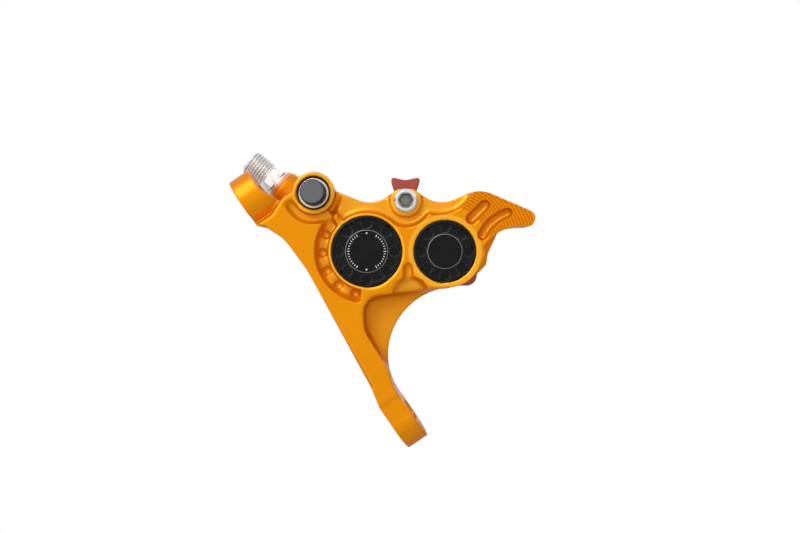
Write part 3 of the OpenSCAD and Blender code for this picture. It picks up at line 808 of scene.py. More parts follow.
# Places in the sketch that several pieces share
LARGE_BORE = (-10.85, 0.0)
SMALL_BORE = (10.85, 0.0)
BLEED = (-25.6, 16.2)
PIN = (0.0, 14.1)
FRONT = 20.0
LARGE_DISC_R = 5.9
SMALL_DISC_R = 4.8
DIMPLE_RING = 12.25
DIMPLE_TURNS = np.radians(157.7 + 24.1 * np.arange(5))
DIMPLES = tuple((LARGE_BORE[0] + DIMPLE_RING * math.cos(turn), LARGE_BORE[1] + DIMPLE_RING * math.sin(turn))
                for turn in DIMPLE_TURNS)

ORANGE = Finish(
    "orange_anodised", srgb(247, 154, 2), srgb(240, 145, 0), metallic=0.3, roughness=0.3, spread=0.05,
    grain_depth=0.0010, marks=Marks.MILLED, mark_depth=0.0012, mark_pitch=0.5, specular=0.1,
    # Edges: wear with painted highlight. Recesses: painted shade.
    wear_and_highlight_colour=srgb(255, 205, 90), wear_and_highlight_gain=0.7, hollow_shade_colour=srgb(200, 92, 0), hollow_shade_gain=0.5,
    # Painted shade seen edge-on, and painted highlight on the floors, rings and dimples below.
    painted_grazing_shade=srgb(204, 104, 0), painted_light_colour=srgb(255, 180, 48),
    floors=((17.8, 0.8), (18.5, 0.6), (13.8, 0.35)),
    painted_rings=((*LARGE_BORE, 19.0, 10.75), (*SMALL_BORE, 19.0, 10.3), (*BLEED, 17.0, 6.0), (*PIN, 18.0, 4.4),
           *((*dimple, 16.0, 1.25) for dimple in DIMPLES)))
LARGE_BLACK = Finish(
    "black_turned_large", srgb(20, 20, 21), srgb(14, 14, 15), metallic=0.6, roughness=0.3,
    marks=Marks.TURNED, mark_depth=0.004, mark_pitch=0.3, axis=LARGE_BORE, specular=0.3,
    # Grey edges: wear with painted highlight, and a painted highlight line at the disc's rim.
    wear_and_highlight_colour=srgb(150, 150, 148), wear_and_highlight_gain=2.4, stretch=0.7, line_r=LARGE_DISC_R)
SMALL_BLACK = replace(LARGE_BLACK, name="black_turned_small", axis=SMALL_BORE, line_r=SMALL_DISC_R)
BLEED_STEEL = Finish(
    "bleed_steel", srgb(214, 213, 212), srgb(198, 197, 196), metallic=1.0, roughness=0.2,
    marks=Marks.TURNED, mark_depth=0.004, mark_pitch=0.2, axis=BLEED,
    # Painted shade in recesses.
    hollow_shade_colour=srgb(70, 64, 58), hollow_shade_gain=1.2, hollow_shade_reach=1.5)
PIN_STEEL = Finish(
    "pin_steel", srgb(222, 222, 222), srgb(206, 206, 207), metallic=1.0, roughness=0.2,
    marks=Marks.TURNED, mark_depth=0.004, mark_pitch=0.2, axis=PIN,
    # Painted shade in the socket, and a darker painted shade over the head within the counterbore's radius.
    hollow_shade_colour=srgb(52, 50, 48), hollow_shade_gain=1.3, hollow_shade_reach=2.0,
    painted_light_colour=srgb(144, 142, 136), painted_rings=((*PIN, 19.0, 2.35),))
FITTING_STEEL = Finish(
    "fitting_steel", srgb(234, 233, 231), srgb(222, 221, 219), metallic=0.8, roughness=0.42,
    # Painted shade in recesses.
    grain_depth=0.002, hollow_shade_colour=srgb(140, 136, 128), hollow_shade_gain=0.5, hollow_shade_reach=0.6)
SPRING_STEEL = Finish(
    "spring_steel", srgb(186, 187, 190), srgb(164, 165, 170), metallic=1.0, roughness=0.3,
    marks=Marks.ROLLED, mark_depth=0.002, mark_pitch=0.2)
PISTON_STEEL = Finish(
    "piston_steel", srgb(202, 202, 204), srgb(184, 184, 186), metallic=1.0, roughness=0.18,
    marks=Marks.ROLLED, mark_depth=0.001, mark_pitch=0.15)
COPPER = Finish(
    "copper", srgb(240, 170, 130), srgb(224, 150, 108), metallic=0.8, roughness=0.38, grain_depth=0.003)
RUBBER = Finish(
    "cap_rubber", srgb(44, 44, 46), srgb(36, 36, 38), metallic=0.0, roughness=0.55,
    grain_scale=3500.0, grain_depth=0.012, specular=0.3,
    # Painted highlight on the crown's top face.
    painted_light_colour=srgb(104, 105, 107), painted_rings=((*BLEED, 24.4, 3.2),))
SEAL_RUBBER = Finish("seal_rubber", srgb(36, 36, 36), srgb(26, 26, 26), metallic=0.0, roughness=0.5)
RED_COAT = Finish(
    "red_coat", srgb(176, 84, 76), srgb(160, 70, 62), metallic=0.0, roughness=0.48,
    # Edges: wear with painted highlight.
    grain_scale=2600.0, grain_depth=0.02, wear_and_highlight_colour=srgb(196, 120, 112), wear_and_highlight_gain=1.6)
FRICTION = Finish(
    "sintered_friction", srgb(92, 82, 74), srgb(70, 62, 56), metallic=0.3, roughness=0.75,
    grain_scale=2200.0, grain_depth=0.06, marks=Marks.SPECKLED)
PHENOLIC = Finish(
    "phenolic", srgb(92, 66, 48), srgb(76, 52, 38), metallic=0.0, roughness=0.6,
    grain_scale=2600.0, grain_depth=0.02, marks=Marks.SPECKLED)
WHITE_INK = Finish("white_ink", srgb(232, 232, 230), srgb(214, 214, 212), metallic=0.0, roughness=0.6)


@dataclass
class HoseFitting:
    """Hose connector: a spigot, flange, hexagon, neck and threaded stub round a straight bore."""

    seat: tuple[float, float, float] = (-36.7, 19.4, -2.0)
    angle: float = 141.0
    spigot: float = 7.5
    spigot_r: float = 3.95
    spigot_tip_r: float = 3.3
    spigot_lead: float = 0.6
    washer: float = 1.0
    flange: float = 0.6
    flange_r: float = 5.2
    flange_break: float = 0.1
    hex_flats: float = 10.0
    hex_length: float = 3.2
    hex_turn: float = 22.0
    hex_lead: float = 0.32
    hex_drop: float = 0.75
    stub: float = 7.9
    neck: float = 0.7
    neck_r: float = 3.4
    neck_fillet: tuple[float, float] = (0.15, 0.12)
    thread_gap: float = 0.05
    thread_r: float = 4.0
    thread_depth: float = 0.55
    pitch: float = 0.9
    crest: tuple[float, float] = (1.25, 0.1)
    run_in: float = 0.5
    run_out: float = 0.6
    tip: float = 0.4
    tip_r: float = 3.25
    tip_break: float = 0.25
    bore_r: float = 1.25
    bore_lead: float = 0.35
    columns: int = 120
    thread_rows: int = 84
    sharp: float = 28.0

    def screw(self, turn: np.ndarray, height: np.ndarray) -> np.ndarray:
        """Radius of the thread.

        A triangle wave of height over pitch minus turn, which is a helix, with its crests and roots cut
        flat. It fades to the root at both ends of the stub.

        Args:
            turn: Angles round the axis.
            height: Heights of the lines on the stub.

        Returns:
            Radii, one row for each height.
        """
        wave = np.abs(((height[:, None] / self.pitch - turn[None, :] / (2 * np.pi)) % 1.0) * 2.0 - 1.0)
        start = np.clip((height - height[0]) / self.run_in, 0.0, 1.0)
        ramp = start * np.clip((height[-1] - height) / self.run_out, 0.0, 1.0)
        crest = np.clip(wave * self.crest[0] - self.crest[1], 0.0, 1.0)
        return self.thread_r - self.thread_depth + self.thread_depth * crest * np.sqrt(ramp)[:, None]

    def surface(self) -> np.ndarray:
        """Works out the whole outside and bore as one closed grid.

        The radius is a function of the turn and the height: a plain turned radius, cut by a hexagon on the
        nut's lines (half the flats over the cosine of the turn from the nearest flat), and the thread's own
        radius on the stub.

        Returns:
            Points in metres, on lines along the axis.
        """
        turn = np.linspace(0.0, 2.0 * np.pi, self.columns, endpoint=False)
        low = self.washer + self.flange
        nut = low + self.hex_length
        end = nut + self.stub
        corner = self.hex_flats / 2 / math.cos(math.pi / 6)
        rim = self.flange_r - self.flange_break
        thread = np.linspace(nut + self.neck, end - self.tip, self.thread_rows)
        plain = np.array([
            [-self.spigot, self.bore_r], [-self.spigot, self.spigot_tip_r],
            [-self.spigot + self.spigot_lead, self.spigot_r], [self.washer, self.spigot_r],
            [self.washer, rim], [self.washer + self.flange_break, self.flange_r],
            [low - self.flange_break, self.flange_r], [low, rim]])
        nut_lines = np.array([
            [low, corner - self.hex_drop], [low + self.hex_lead, corner],
            [nut - self.hex_lead, corner], [nut, corner - self.hex_drop]])
        neck = np.array([
            [nut, self.neck_r + self.neck_fillet[0]], [nut + self.neck_fillet[1], self.neck_r],
            [thread[0] - self.thread_gap, self.neck_r]])
        mouth = np.array([
            [end - self.tip_break, self.tip_r], [end, self.tip_r - self.tip_break],
            [end, self.bore_r + self.bore_lead], [end - self.bore_lead, self.bore_r],
            [-self.spigot, self.bore_r]])
        from_flat = (turn + math.radians(self.hex_turn + 30.0)) % (np.pi / 3) - np.pi / 6
        flats = self.hex_flats / 2 / np.cos(from_flat)
        spread = np.ones(self.columns)
        radius = np.concatenate([
            plain[:, 1:] * spread, np.minimum(nut_lines[:, 1:] * spread, flats), neck[:, 1:] * spread,
            self.screw(turn, thread), mouth[:, 1:] * spread])
        height = np.concatenate([plain[:, 0], nut_lines[:, 0], neck[:, 0], thread, mouth[:, 0]])[:, None]
        way = math.radians(self.angle)
        side = radius * np.cos(turn)[None, :]
        x = self.seat[0] + height * math.cos(way) - side * math.sin(way)
        z = self.seat[1] + height * math.sin(way) + side * math.cos(way)
        return PLACE.point(x, z, self.seat[2] + radius * np.sin(turn)[None, :])

    def build(self, effects: Effects) -> bpy.types.Object:
        """Makes the fitting and puts it in the CAD node's stead.

        Args:
            effects: The shared node groups.

        Returns:
            The piece.
        """
        points = self.surface()
        faces = grid_faces(*points.shape[:2], ring=True)
        made = mesh_object("hose_fitting_threaded", points, faces, self.sharp)
        made.data.materials.append(material_of(FITTING_STEEL, effects))
        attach(made, "caliper")
        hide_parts("hose_fitting")
        return made


@dataclass
class BleedScrew(Piece):
    """The bleed screw with its flange filling the recess, its upper face near the ring's face."""

    flange_from: float = 3.9
    flange_share: float = 1.06
    flange_top: float = 18.7
    flange_rise: float = 0.8
    face_band: float = 0.1

    def shape(self, points: np.ndarray) -> np.ndarray:
        """Moves the flange's rim outward from the bleed axis by one share, and its upper face up.

        Args:
            points: The node's points in metres.

        Returns:
            The moved points.
        """
        x, z, h = PLACE.sketch(points)
        reach = np.hypot(x - BLEED[0], z - BLEED[1])
        share = np.where(reach > self.flange_from, self.flange_share, 1.0)
        h = h + self.flange_rise * (np.abs(h - self.flange_top) < self.face_band)
        return PLACE.point(BLEED[0] + (x - BLEED[0]) * share, BLEED[1] + (z - BLEED[1]) * share, h)


@dataclass
class BleedCap:
    """Moulded rubber cap over the bleed nipple, with a rounded crown and a bead at its foot.

    A line of the wall is its inset from the foot's radius and its height over the foot.
    """

    foot: float = 18.7
    height: float = 6.0
    foot_r: float = 3.6
    crown_r: float = 3.45
    crown: float = 0.55
    bead: float = 0.22
    wall: tuple[tuple[float, float], ...] = ((0.0, 0.9), (0.05, 1.05), (0.12, 1.3))
    hollow_r: float = 1.92
    hollow: float = 4.05
    columns: int = 72
    arc_rows: int = 8
    crown_rows: int = 5
    crown_inset: float = 0.2
    sharp: float = 40.0

    def surface(self) -> np.ndarray:
        """Turns a closed profile about the bleed axis.

        The profile has quarter circles at the crown and the bead, with straight walls between.

        Returns:
            Points in metres, on lines round the axis.
        """
        arc = np.linspace(0.0, np.pi / 2, self.arc_rows)
        top = self.foot + self.height
        flat = np.linspace(self.crown_r - self.crown - self.crown_inset, 0.0, self.crown_rows)
        inside = self.foot + self.hollow
        bead_r, crown_r = self.foot_r - self.bead, self.crown_r - self.crown
        profile = np.concatenate([
            [[0.0, inside], [self.hollow_r, inside], [self.hollow_r, self.foot]],
            [bead_r, self.foot + self.bead] + self.bead * np.stack([np.sin(arc), -np.cos(arc)], axis=1),
            [[self.foot_r - inset, self.foot + rise] for inset, rise in self.wall],
            [crown_r, top - self.crown] + self.crown * np.stack([np.cos(arc), np.sin(arc)], axis=1),
            np.stack([flat, np.full(self.crown_rows, top)], axis=1)])
        turn = np.linspace(0.0, 2.0 * np.pi, self.columns, endpoint=False)
        x = BLEED[0] + profile[:, :1] * np.cos(turn)
        z = BLEED[1] + profile[:, :1] * np.sin(turn)
        return PLACE.point(x, z, profile[:, 1:] * np.ones(self.columns))

    def build(self, effects: Effects) -> bpy.types.Object:
        """Makes the cap and puts it in the CAD node's stead.

        Args:
            effects: The shared node groups.

        Returns:
            The piece.
        """
        points = self.surface()
        faces = grid_faces(*points.shape[:2], ring=False)
        made = mesh_object("bleed_cap_moulded", points, faces, self.sharp)
        made.data.materials.append(material_of(RUBBER, effects))
        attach(made, "bleed_valve")
        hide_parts("bleed_cap")
        return made


@dataclass
class CaliperBody:
    """The milled body as one even skin with broken edges, ball-cut fillets and a ringed tail.

    The solid's surface is sampled at small voxels, and the wall beside the small bore is drawn in to an
    even ring. In each edge pass every point moves half way to the mean of its neighbours, which breaks all
    edges alike. Lip passes do the same along a few lines whose edges are rounded wider, and round the nib on
    the leg's back. In each fillet pass only the hollow points move, outward along their normals, which fills
    the feet of the walls as a ball cutter leaves them. On the tail's face the skin is then lowered by round
    grooves, whose depth follows the distance from the small bore.

    A lip line is its two ends in the sketch and its reach. A seat is its axis and its radius.
    """

    node: str = "caliper_body"
    voxel: float = 0.24
    pull: float = 0.5
    edge_passes: int = 7
    recess_r: float = 5.4
    recess_depth: float = 3.0
    recess_pull: float = 0.12
    lip_passes: int = 50
    lip_depth: float = 3.4
    lip_lines: tuple[tuple[float, float, float, float, float], ...] = (
        (-41.8, 7.3, -31.9, 14.0, 2.2), (-9.0, -11.4, 9.0, -10.7, 2.2), (-17.8, 14.9, -18.7, 10.4, 0.9),
        (-20.3, 9.5, -18.4, 8.3, 1.1))
    nib: tuple[float, float, float] = (-31.9, 0.3, 6.5)
    nib_reach: float = 1.4
    fillet_passes: int = 40
    pocket_passes: int = 110
    pocket_below: float = -10.5
    relief_floor: float = 12.5
    relief_top: float = 0.5
    seats: tuple[tuple[float, float, float], ...] = ((*LARGE_BORE, 10.0), (*SMALL_BORE, 8.9), (*BLEED, 4.8))
    dimple_keep: float = 1.8
    wall_from: float = 9.5
    wall_to: float = 14.0
    wall_share: float = 0.56
    wall_start: tuple[float, float] = (-5.0, 16.0)
    wall_end: tuple[float, float] = (-82.0, 20.0)
    wall_low: tuple[float, float] = (1.0, 2.0)
    tail_from: float = 13.0
    tail_skin: float = 0.45
    groove_first: float = 12.8
    groove_pitch: float = 0.85
    groove_phase: float = 0.35
    groove_depth: float = 0.3
    groove_count: int = 16
    groove_turns: tuple[float, float] = (-12.0, 70.0)
    groove_border: tuple[float, float] = (0.38, 0.18)
    triangles: int = 185_000
    normal_weight: int = 80

    def build(self, effects: Effects) -> bpy.types.Object:
        """Works the skin and dresses it.

        Args:
            effects: The shared node groups.

        Returns:
            The piece that stands for the body's node.
        """
        made = mesh_object(self.node + "_dressed", *merged_arrays(self.node))
        voxels = made.modifiers.new("voxels", "REMESH")
        voxels.mode = "VOXEL"
        voxels.voxel_size = self.voxel * MM
        settle(made, voxels)
        self.slim_wall(made.data)
        self.relax(made.data)
        self.refine_tail(made.data)
        self.cut_grooves(made.data)
        self.thin_out(made)
        made.data.polygons.foreach_set("use_smooth", np.ones(len(made.data.polygons), bool))
        made.modifiers.new("even_normals", "WEIGHTED_NORMAL").weight = self.normal_weight
        made.data.materials.append(material_of(ORANGE, effects))
        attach(made, "caliper")
        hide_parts(self.node)
        return made

    def slim_wall(self, mesh: bpy.types.Mesh) -> None:
        """Draws the outboard wall below and right of the small bore in towards it, to an even ring.

        The distance beyond the bore's wall shrinks to one share. The shrinking fades out over the turns at
        both ends of the stretch and over its lowest heights.

        Args:
            mesh: The skin.
        """
        x, z, h = PLACE.sketch(vertex_rows(mesh, "co"))
        right, up = x - SMALL_BORE[0], z - SMALL_BORE[1]
        reach = np.hypot(right, up)
        turn = np.degrees(np.arctan2(up, right))
        share = np.clip((self.wall_start[0] - turn) / self.wall_start[1], 0.0, 1.0)
        share *= np.clip((turn - self.wall_end[0]) / self.wall_end[1], 0.0, 1.0)
        share *= np.clip((h - self.wall_low[0]) / self.wall_low[1], 0.0, 1.0)
        share *= (reach > self.wall_from) & (reach < self.wall_to)
        drawn = self.wall_from + (reach - self.wall_from) * (1.0 - share * (1.0 - self.wall_share))
        scale = np.where(share > 0.0, drawn / np.maximum(reach, 1e-6), 1.0)
        put_points(mesh, PLACE.point(SMALL_BORE[0] + right * scale, SMALL_BORE[1] + up * scale, h))

    def relax(self, mesh: bpy.types.Mesh) -> None:
        """Breaks the edges, least in the bleed recess, rounds the lips wider and fills the walls' feet.

        Args:
            mesh: The skin.
        """
        points, edges = vertex_rows(mesh, "co"), edge_pairs(mesh)
        x, z, h = PLACE.sketch(points)
        recess = np.hypot(x - BLEED[0], z - BLEED[1]) < self.recess_r
        recess &= h > FRONT - self.recess_depth
        pull = np.where(recess, self.recess_pull, self.pull)[:, None]
        for _ in range(self.edge_passes):
            points += pull * (neighbour_mean(points, edges) - points)
        pull = self.lip_mask(points)[:, None]
        for _ in range(self.lip_passes):
            points += pull * (neighbour_mean(points, edges) - points)
        put_points(mesh, points)
        normals = vertex_rows(mesh, "normal")
        feet = self.pull * self.fillet_mask(points)
        for turn in range(self.fillet_passes + self.pocket_passes):
            if turn == self.fillet_passes:
                feet = feet * (z < self.pocket_below)
            hollow = ((neighbour_mean(points, edges) - points) * normals).sum(axis=1)
            points += (feet * np.maximum(hollow, 0.0))[:, None] * normals
        put_points(mesh, points)

    def lip_mask(self, points: np.ndarray) -> np.ndarray:
        """Marks the outboard edges that are rounded wide, and the nib on the leg's back.

        Args:
            points: Points of the skin in metres.

        Returns:
            A half within the reach of a line or the nib, fading to 0 over half a reach.
        """
        x, z, h = PLACE.sketch(points)
        mask = np.zeros(len(points))
        for x0, z0, x1, z1, reach in self.lip_lines:
            run_x, run_z = x1 - x0, z1 - z0
            along = ((x - x0) * run_x + (z - z0) * run_z) / math.hypot(run_x, run_z) ** 2
            along = np.clip(along, 0.0, 1.0)
            off = np.hypot(x - x0 - along * run_x, z - z0 - along * run_z)
            mask = np.maximum(mask, np.clip(1.5 - off / reach, 0.0, self.pull))
        mask *= h > FRONT - self.lip_depth
        away = np.linalg.norm(np.stack([x, z, h], axis=1) - self.nib, axis=1)
        return np.maximum(mask, np.clip(1.5 - away / self.nib_reach, 0.0, self.pull))

    def fillet_mask(self, points: np.ndarray) -> np.ndarray:
        """Marks the milled relief of the outboard side, without the seats, the dimples and the tail.

        Args:
            points: Points of the skin in metres.

        Returns:
            1 on the relief and 0 elsewhere.
        """
        x, z, h = PLACE.sketch(points)
        mask = (h > self.relief_floor) & (h < FRONT - self.relief_top) & (x < self.tail_from)
        for seat_x, seat_z, seat_r in self.seats:
            mask &= np.hypot(x - seat_x, z - seat_z) > seat_r
        for dimple_x, dimple_z in DIMPLES:
            mask &= np.hypot(x - dimple_x, z - dimple_z) > self.dimple_keep
        return mask.astype(float)

    def tail_face(self, mesh: bpy.types.Mesh) -> np.ndarray:
        """Marks the points of the tail's outboard face."""
        x, _, h = PLACE.sketch(vertex_rows(mesh, "co"))
        return (x >= self.tail_from) & (h >= FRONT - self.tail_skin)

    def refine_tail(self, mesh: bpy.types.Mesh) -> None:
        """Halves the faces of the tail's outboard face, for its fine grooves.

        Args:
            mesh: The skin.
        """
        chosen = np.flatnonzero(self.tail_face(mesh)[edge_pairs(mesh)].all(axis=1))
        work = bmesh.new()
        work.from_mesh(mesh)
        work.edges.ensure_lookup_table()
        halved = [work.edges[i] for i in chosen]
        bmesh.ops.subdivide_edges(work, edges=halved, cuts=1, use_grid_fill=True)
        work.to_mesh(mesh)
        work.free()

    def cut_grooves(self, mesh: bpy.types.Mesh) -> None:
        """Lowers the tail's face by one groove, a cosine squared, in each pitch from the small bore.

        Args:
            mesh: The skin.
        """
        points = vertex_rows(mesh, "co")
        x, z, h = PLACE.sketch(points)
        right, up = x - SMALL_BORE[0], z - SMALL_BORE[1]
        run = np.hypot(right, up) - self.groove_first
        turn = np.degrees(np.arctan2(up, right))
        ringed = (run > 0.0) & (run < self.groove_count * self.groove_pitch)
        ringed &= (turn > self.groove_turns[0]) & (turn < self.groove_turns[1])
        wave = 0.5 + 0.5 * np.cos(2.0 * math.pi * (run / self.groove_pitch - self.groove_phase))
        target = FRONT - self.groove_depth * wave ** 2
        below, fade = self.groove_border
        share = np.clip((h - FRONT + below) / fade, 0.0, 1.0) * ringed
        put_points(mesh, points + (share * (target - h) * MM)[:, None] * OUTBOARD)

    def thin_out(self, made: bpy.types.Object) -> None:
        """Takes faces away where the skin is flat, but none on the tail's grooved face.

        Args:
            made: The piece.
        """
        plain = np.flatnonzero(~self.tail_face(made.data))
        made.vertex_groups.new(name="plain").add(plain.tolist(), 1.0, "REPLACE")
        thin = made.modifiers.new("fewer_faces", "DECIMATE")
        thin.vertex_group = "plain"
        thin.ratio = self.triangles / (2 * len(made.data.polygons))
        settle(made, thin)
        made.vertex_groups.clear()


@dataclass
class BoreCap:
    """Screwed bore cap: a raised disc in a recess with a ring of round tool pockets.

    A spigot stands behind the flange, with a gland for its ring.
    """

    node: str
    finish: Finish
    centre: tuple[float, float]
    diameter: float
    disc_r: float
    flange: float = 2.0
    flange_break: float = 0.08
    spigot: float = 2.6
    step: float = 0.75
    gland: float = 1.06
    wall: float = 2.4
    web: float = 1.4
    recess: float = 0.5
    recess_gap: float = 0.15
    rim: float = 0.3
    rim_width: float = 0.95
    pocket: float = 1.2
    pocket_share: float = 0.4
    pockets: int = 8
    pocket_gap: float = 0.05
    run: float = 0.34
    columns: int = 320
    arc_rows: int = 7
    ring_rows: int = 84
    disc_rows: int = 12
    ring_start: float = 0.5
    ring_end: float = 0.3
    disc_start: float = 0.6
    sharp: float = 50.0

    def profile(self) -> np.ndarray:
        """Lines of the grid, from the middle of the back round the rim to the middle of the front.

        Returns:
            Radius and height of each line.
        """
        r, seat = self.diameter / 2, FRONT - self.flange
        body, back = r - self.step, seat - self.spigot
        floor, gland_r, gland_low = back + self.web, body - self.gland, seat - self.gland
        arc = np.linspace(0.0, np.pi / 2, self.arc_rows)
        behind = [
            [0.0, floor], [body - self.wall, floor], [body - self.wall, back], [body, back],
            [body, gland_low], [gland_r, gland_low], [gland_r, seat],
            [r - self.flange_break, seat], [r, seat + self.flange_break]]
        edge = [r - self.rim, FRONT - self.rim] + self.rim * np.stack([np.cos(arc), np.sin(arc)], axis=1)
        ring = np.linspace(r - self.ring_start, self.disc_r - self.ring_end, self.ring_rows)
        inward = np.concatenate([ring, np.linspace(self.disc_r - self.disc_start, 0.0, self.disc_rows)])
        face = np.stack([inward, np.full(len(inward), FRONT)], axis=1)
        return np.concatenate([behind, edge, face])

    def smooth(self, distance: np.ndarray) -> np.ndarray:
        """Smooth step from 0 to 1 over the run of a wall, a half at distance 0."""
        share = np.clip(distance / self.run + 0.5, 0.0, 1.0)
        return share * share * (3.0 - 2.0 * share)

    def depth(self, radius: np.ndarray, turn: np.ndarray) -> np.ndarray:
        """Works out how deep the front face is cut.

        The ring recess runs between the disc and the rim, and each pocket is a circle about a point of the
        pitch ring. Both walls are smooth steps of the distance from the boundary, and the deeper cut wins.

        Args:
            radius: Distances from the cap's axis, as a column.
            turn: Angles round it, as a row.

        Returns:
            Depths in millimetres.
        """
        r = self.diameter / 2
        pitch_r = (r + self.disc_r) / 2
        pocket_r = (r - self.disc_r) * self.pocket_share - self.pocket_gap
        half = np.pi / self.pockets
        near = (turn + half) % (2 * half) - half
        away = np.sqrt(radius ** 2 + pitch_r ** 2 - 2.0 * radius * pitch_r * np.cos(near))
        room = np.minimum(radius - self.disc_r - self.recess_gap, r - self.rim_width - radius)
        return np.maximum(self.recess * self.smooth(room), self.pocket * self.smooth(pocket_r - away))

    def build(self, effects: Effects) -> bpy.types.Object:
        """Makes the cap and puts it in the CAD node's stead.

        Args:
            effects: The shared node groups.

        Returns:
            The piece.
        """
        line = self.profile()
        turn = np.linspace(0.0, 2.0 * np.pi, self.columns, endpoint=False)[None]
        radius, height = line[:, :1], line[:, 1:]
        height = np.where(height > FRONT - 1e-6, height - self.depth(radius, turn), height)
        x = self.centre[0] + radius * np.cos(turn)
        z = self.centre[1] + radius * np.sin(turn)
        points = PLACE.point(x, z, height)
        faces = grid_faces(*points.shape[:2], ring=False)
        made = mesh_object(self.node + "_turned", points, faces, self.sharp)
        made.data.materials.append(material_of(self.finish, effects))
        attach(made, "caliper")
        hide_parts(self.node)
        return made


@dataclass
class TickRing:
    """Printed ring of plain tick marks on the large cap, with a dot at its top and bottom."""

    radius: float = 5.05
    length: float = 0.75
    short: float = 0.62
    long_every: int = 7
    width: float = 0.22
    dot: float = 0.26
    dot_turns: tuple[float, float] = (90.0, 270.0)
    lift: float = 0.02
    spans: tuple[tuple[float, float], ...] = ((-58.0, 58.0), (122.0, 238.0))
    per_span: int = 15

    def surface(self) -> tuple[np.ndarray, np.ndarray]:
        """Lays eight-cornered flat prisms along the ring: bars for ticks and octagons for the two dots.

        Returns:
            Points in metres and their quads.
        """
        turn = np.concatenate([np.linspace(*span, self.per_span) for span in self.spans])
        whole = np.arange(len(turn)) % self.per_span % self.long_every == 0
        length = self.length * np.where(whole, 1.0, self.short)[:, None]
        corner = np.linspace(0.0, 2 * np.pi, 8, endpoint=False) + np.pi / 8
        bar_u = np.array([1, 0.33, -0.33, -1, -1, -0.33, 0.33, 1]) / 2
        bar_v = np.array([1, 1, 1, 1, -1, -1, -1, -1]) / 2
        u = np.concatenate([length * bar_u, np.tile(self.dot * np.cos(corner), (2, 1))])
        bars_v = np.tile(self.width * bar_v, (len(turn), 1))
        v = np.concatenate([bars_v, np.tile(self.dot * np.sin(corner), (2, 1))])
        angle = np.radians(np.concatenate([turn, self.dot_turns]))[:, None]
        x = LARGE_BORE[0] + (self.radius + u) * np.cos(angle) - v * np.sin(angle)
        z = LARGE_BORE[1] + (self.radius + u) * np.sin(angle) + v * np.cos(angle)
        points = np.stack([PLACE.point(x, z, FRONT), PLACE.point(x, z, FRONT + self.lift)], axis=1)
        around = np.arange(8)
        beside = (around + 1) % 8
        walls = np.stack([around, beside, beside + 8, around + 8], axis=1)
        caps = np.array([[0, 1, 6, 7], [1, 2, 5, 6], [2, 3, 4, 5]])
        cell = np.concatenate([walls, caps + 8, caps[:, ::-1]])
        faces = cell[None] + 16 * np.arange(len(points))[:, None, None]
        return points, faces.reshape(-1, 4)

    def build(self, effects: Effects) -> bpy.types.Object:
        """Makes the printed ring on the large cap.

        Args:
            effects: The shared node groups.

        Returns:
            The piece.
        """
        made = mesh_object("cap_tick_ring", *self.surface())
        made.data.materials.append(material_of(WHITE_INK, effects))
        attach(made, "caliper")
        return made


@dataclass
class PadSpring(Piece):
    """Sheet spring between the pads."""

    closed: float = 0.8056

    def build(self, effects: Effects) -> bpy.types.Object:
        """Copies the spring and gives the copy a mesh of its own.

        Args:
            effects: The shared node groups.

        Returns:
            The piece that stands for the spring's node.
        """
        made = mesh_object(self.node + "_dressed", *merged_arrays(self.node))
        made.data.materials.append(material_of(self.finish, effects))
        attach(made, self.body)
        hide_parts(self.node)
        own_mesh(made)
        return made


@dataclass
class InnerParts:
    """CAD nodes that keep their own shape: pistons, insulators, seals and rings."""

    finishes: dict[str, Finish] = field(default_factory=lambda: {
        "piston_": PISTON_STEEL, "insulator_": PHENOLIC,
        "seal_": SEAL_RUBBER, "bore_cap_oring": SEAL_RUBBER})

    def dress(self, effects: Effects) -> list[str]:
        """Gives each such node its material.

        Args:
            effects: The shared node groups.

        Returns:
            Names of the dressed nodes.
        """
        done = []
        for prefix, finish in self.finishes.items():
            for name in sorted(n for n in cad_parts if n.startswith(prefix)):
                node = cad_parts[name]
                node.data.materials.clear()
                node.data.materials.append(material_of(finish, effects))
                done.append(name)
        return done


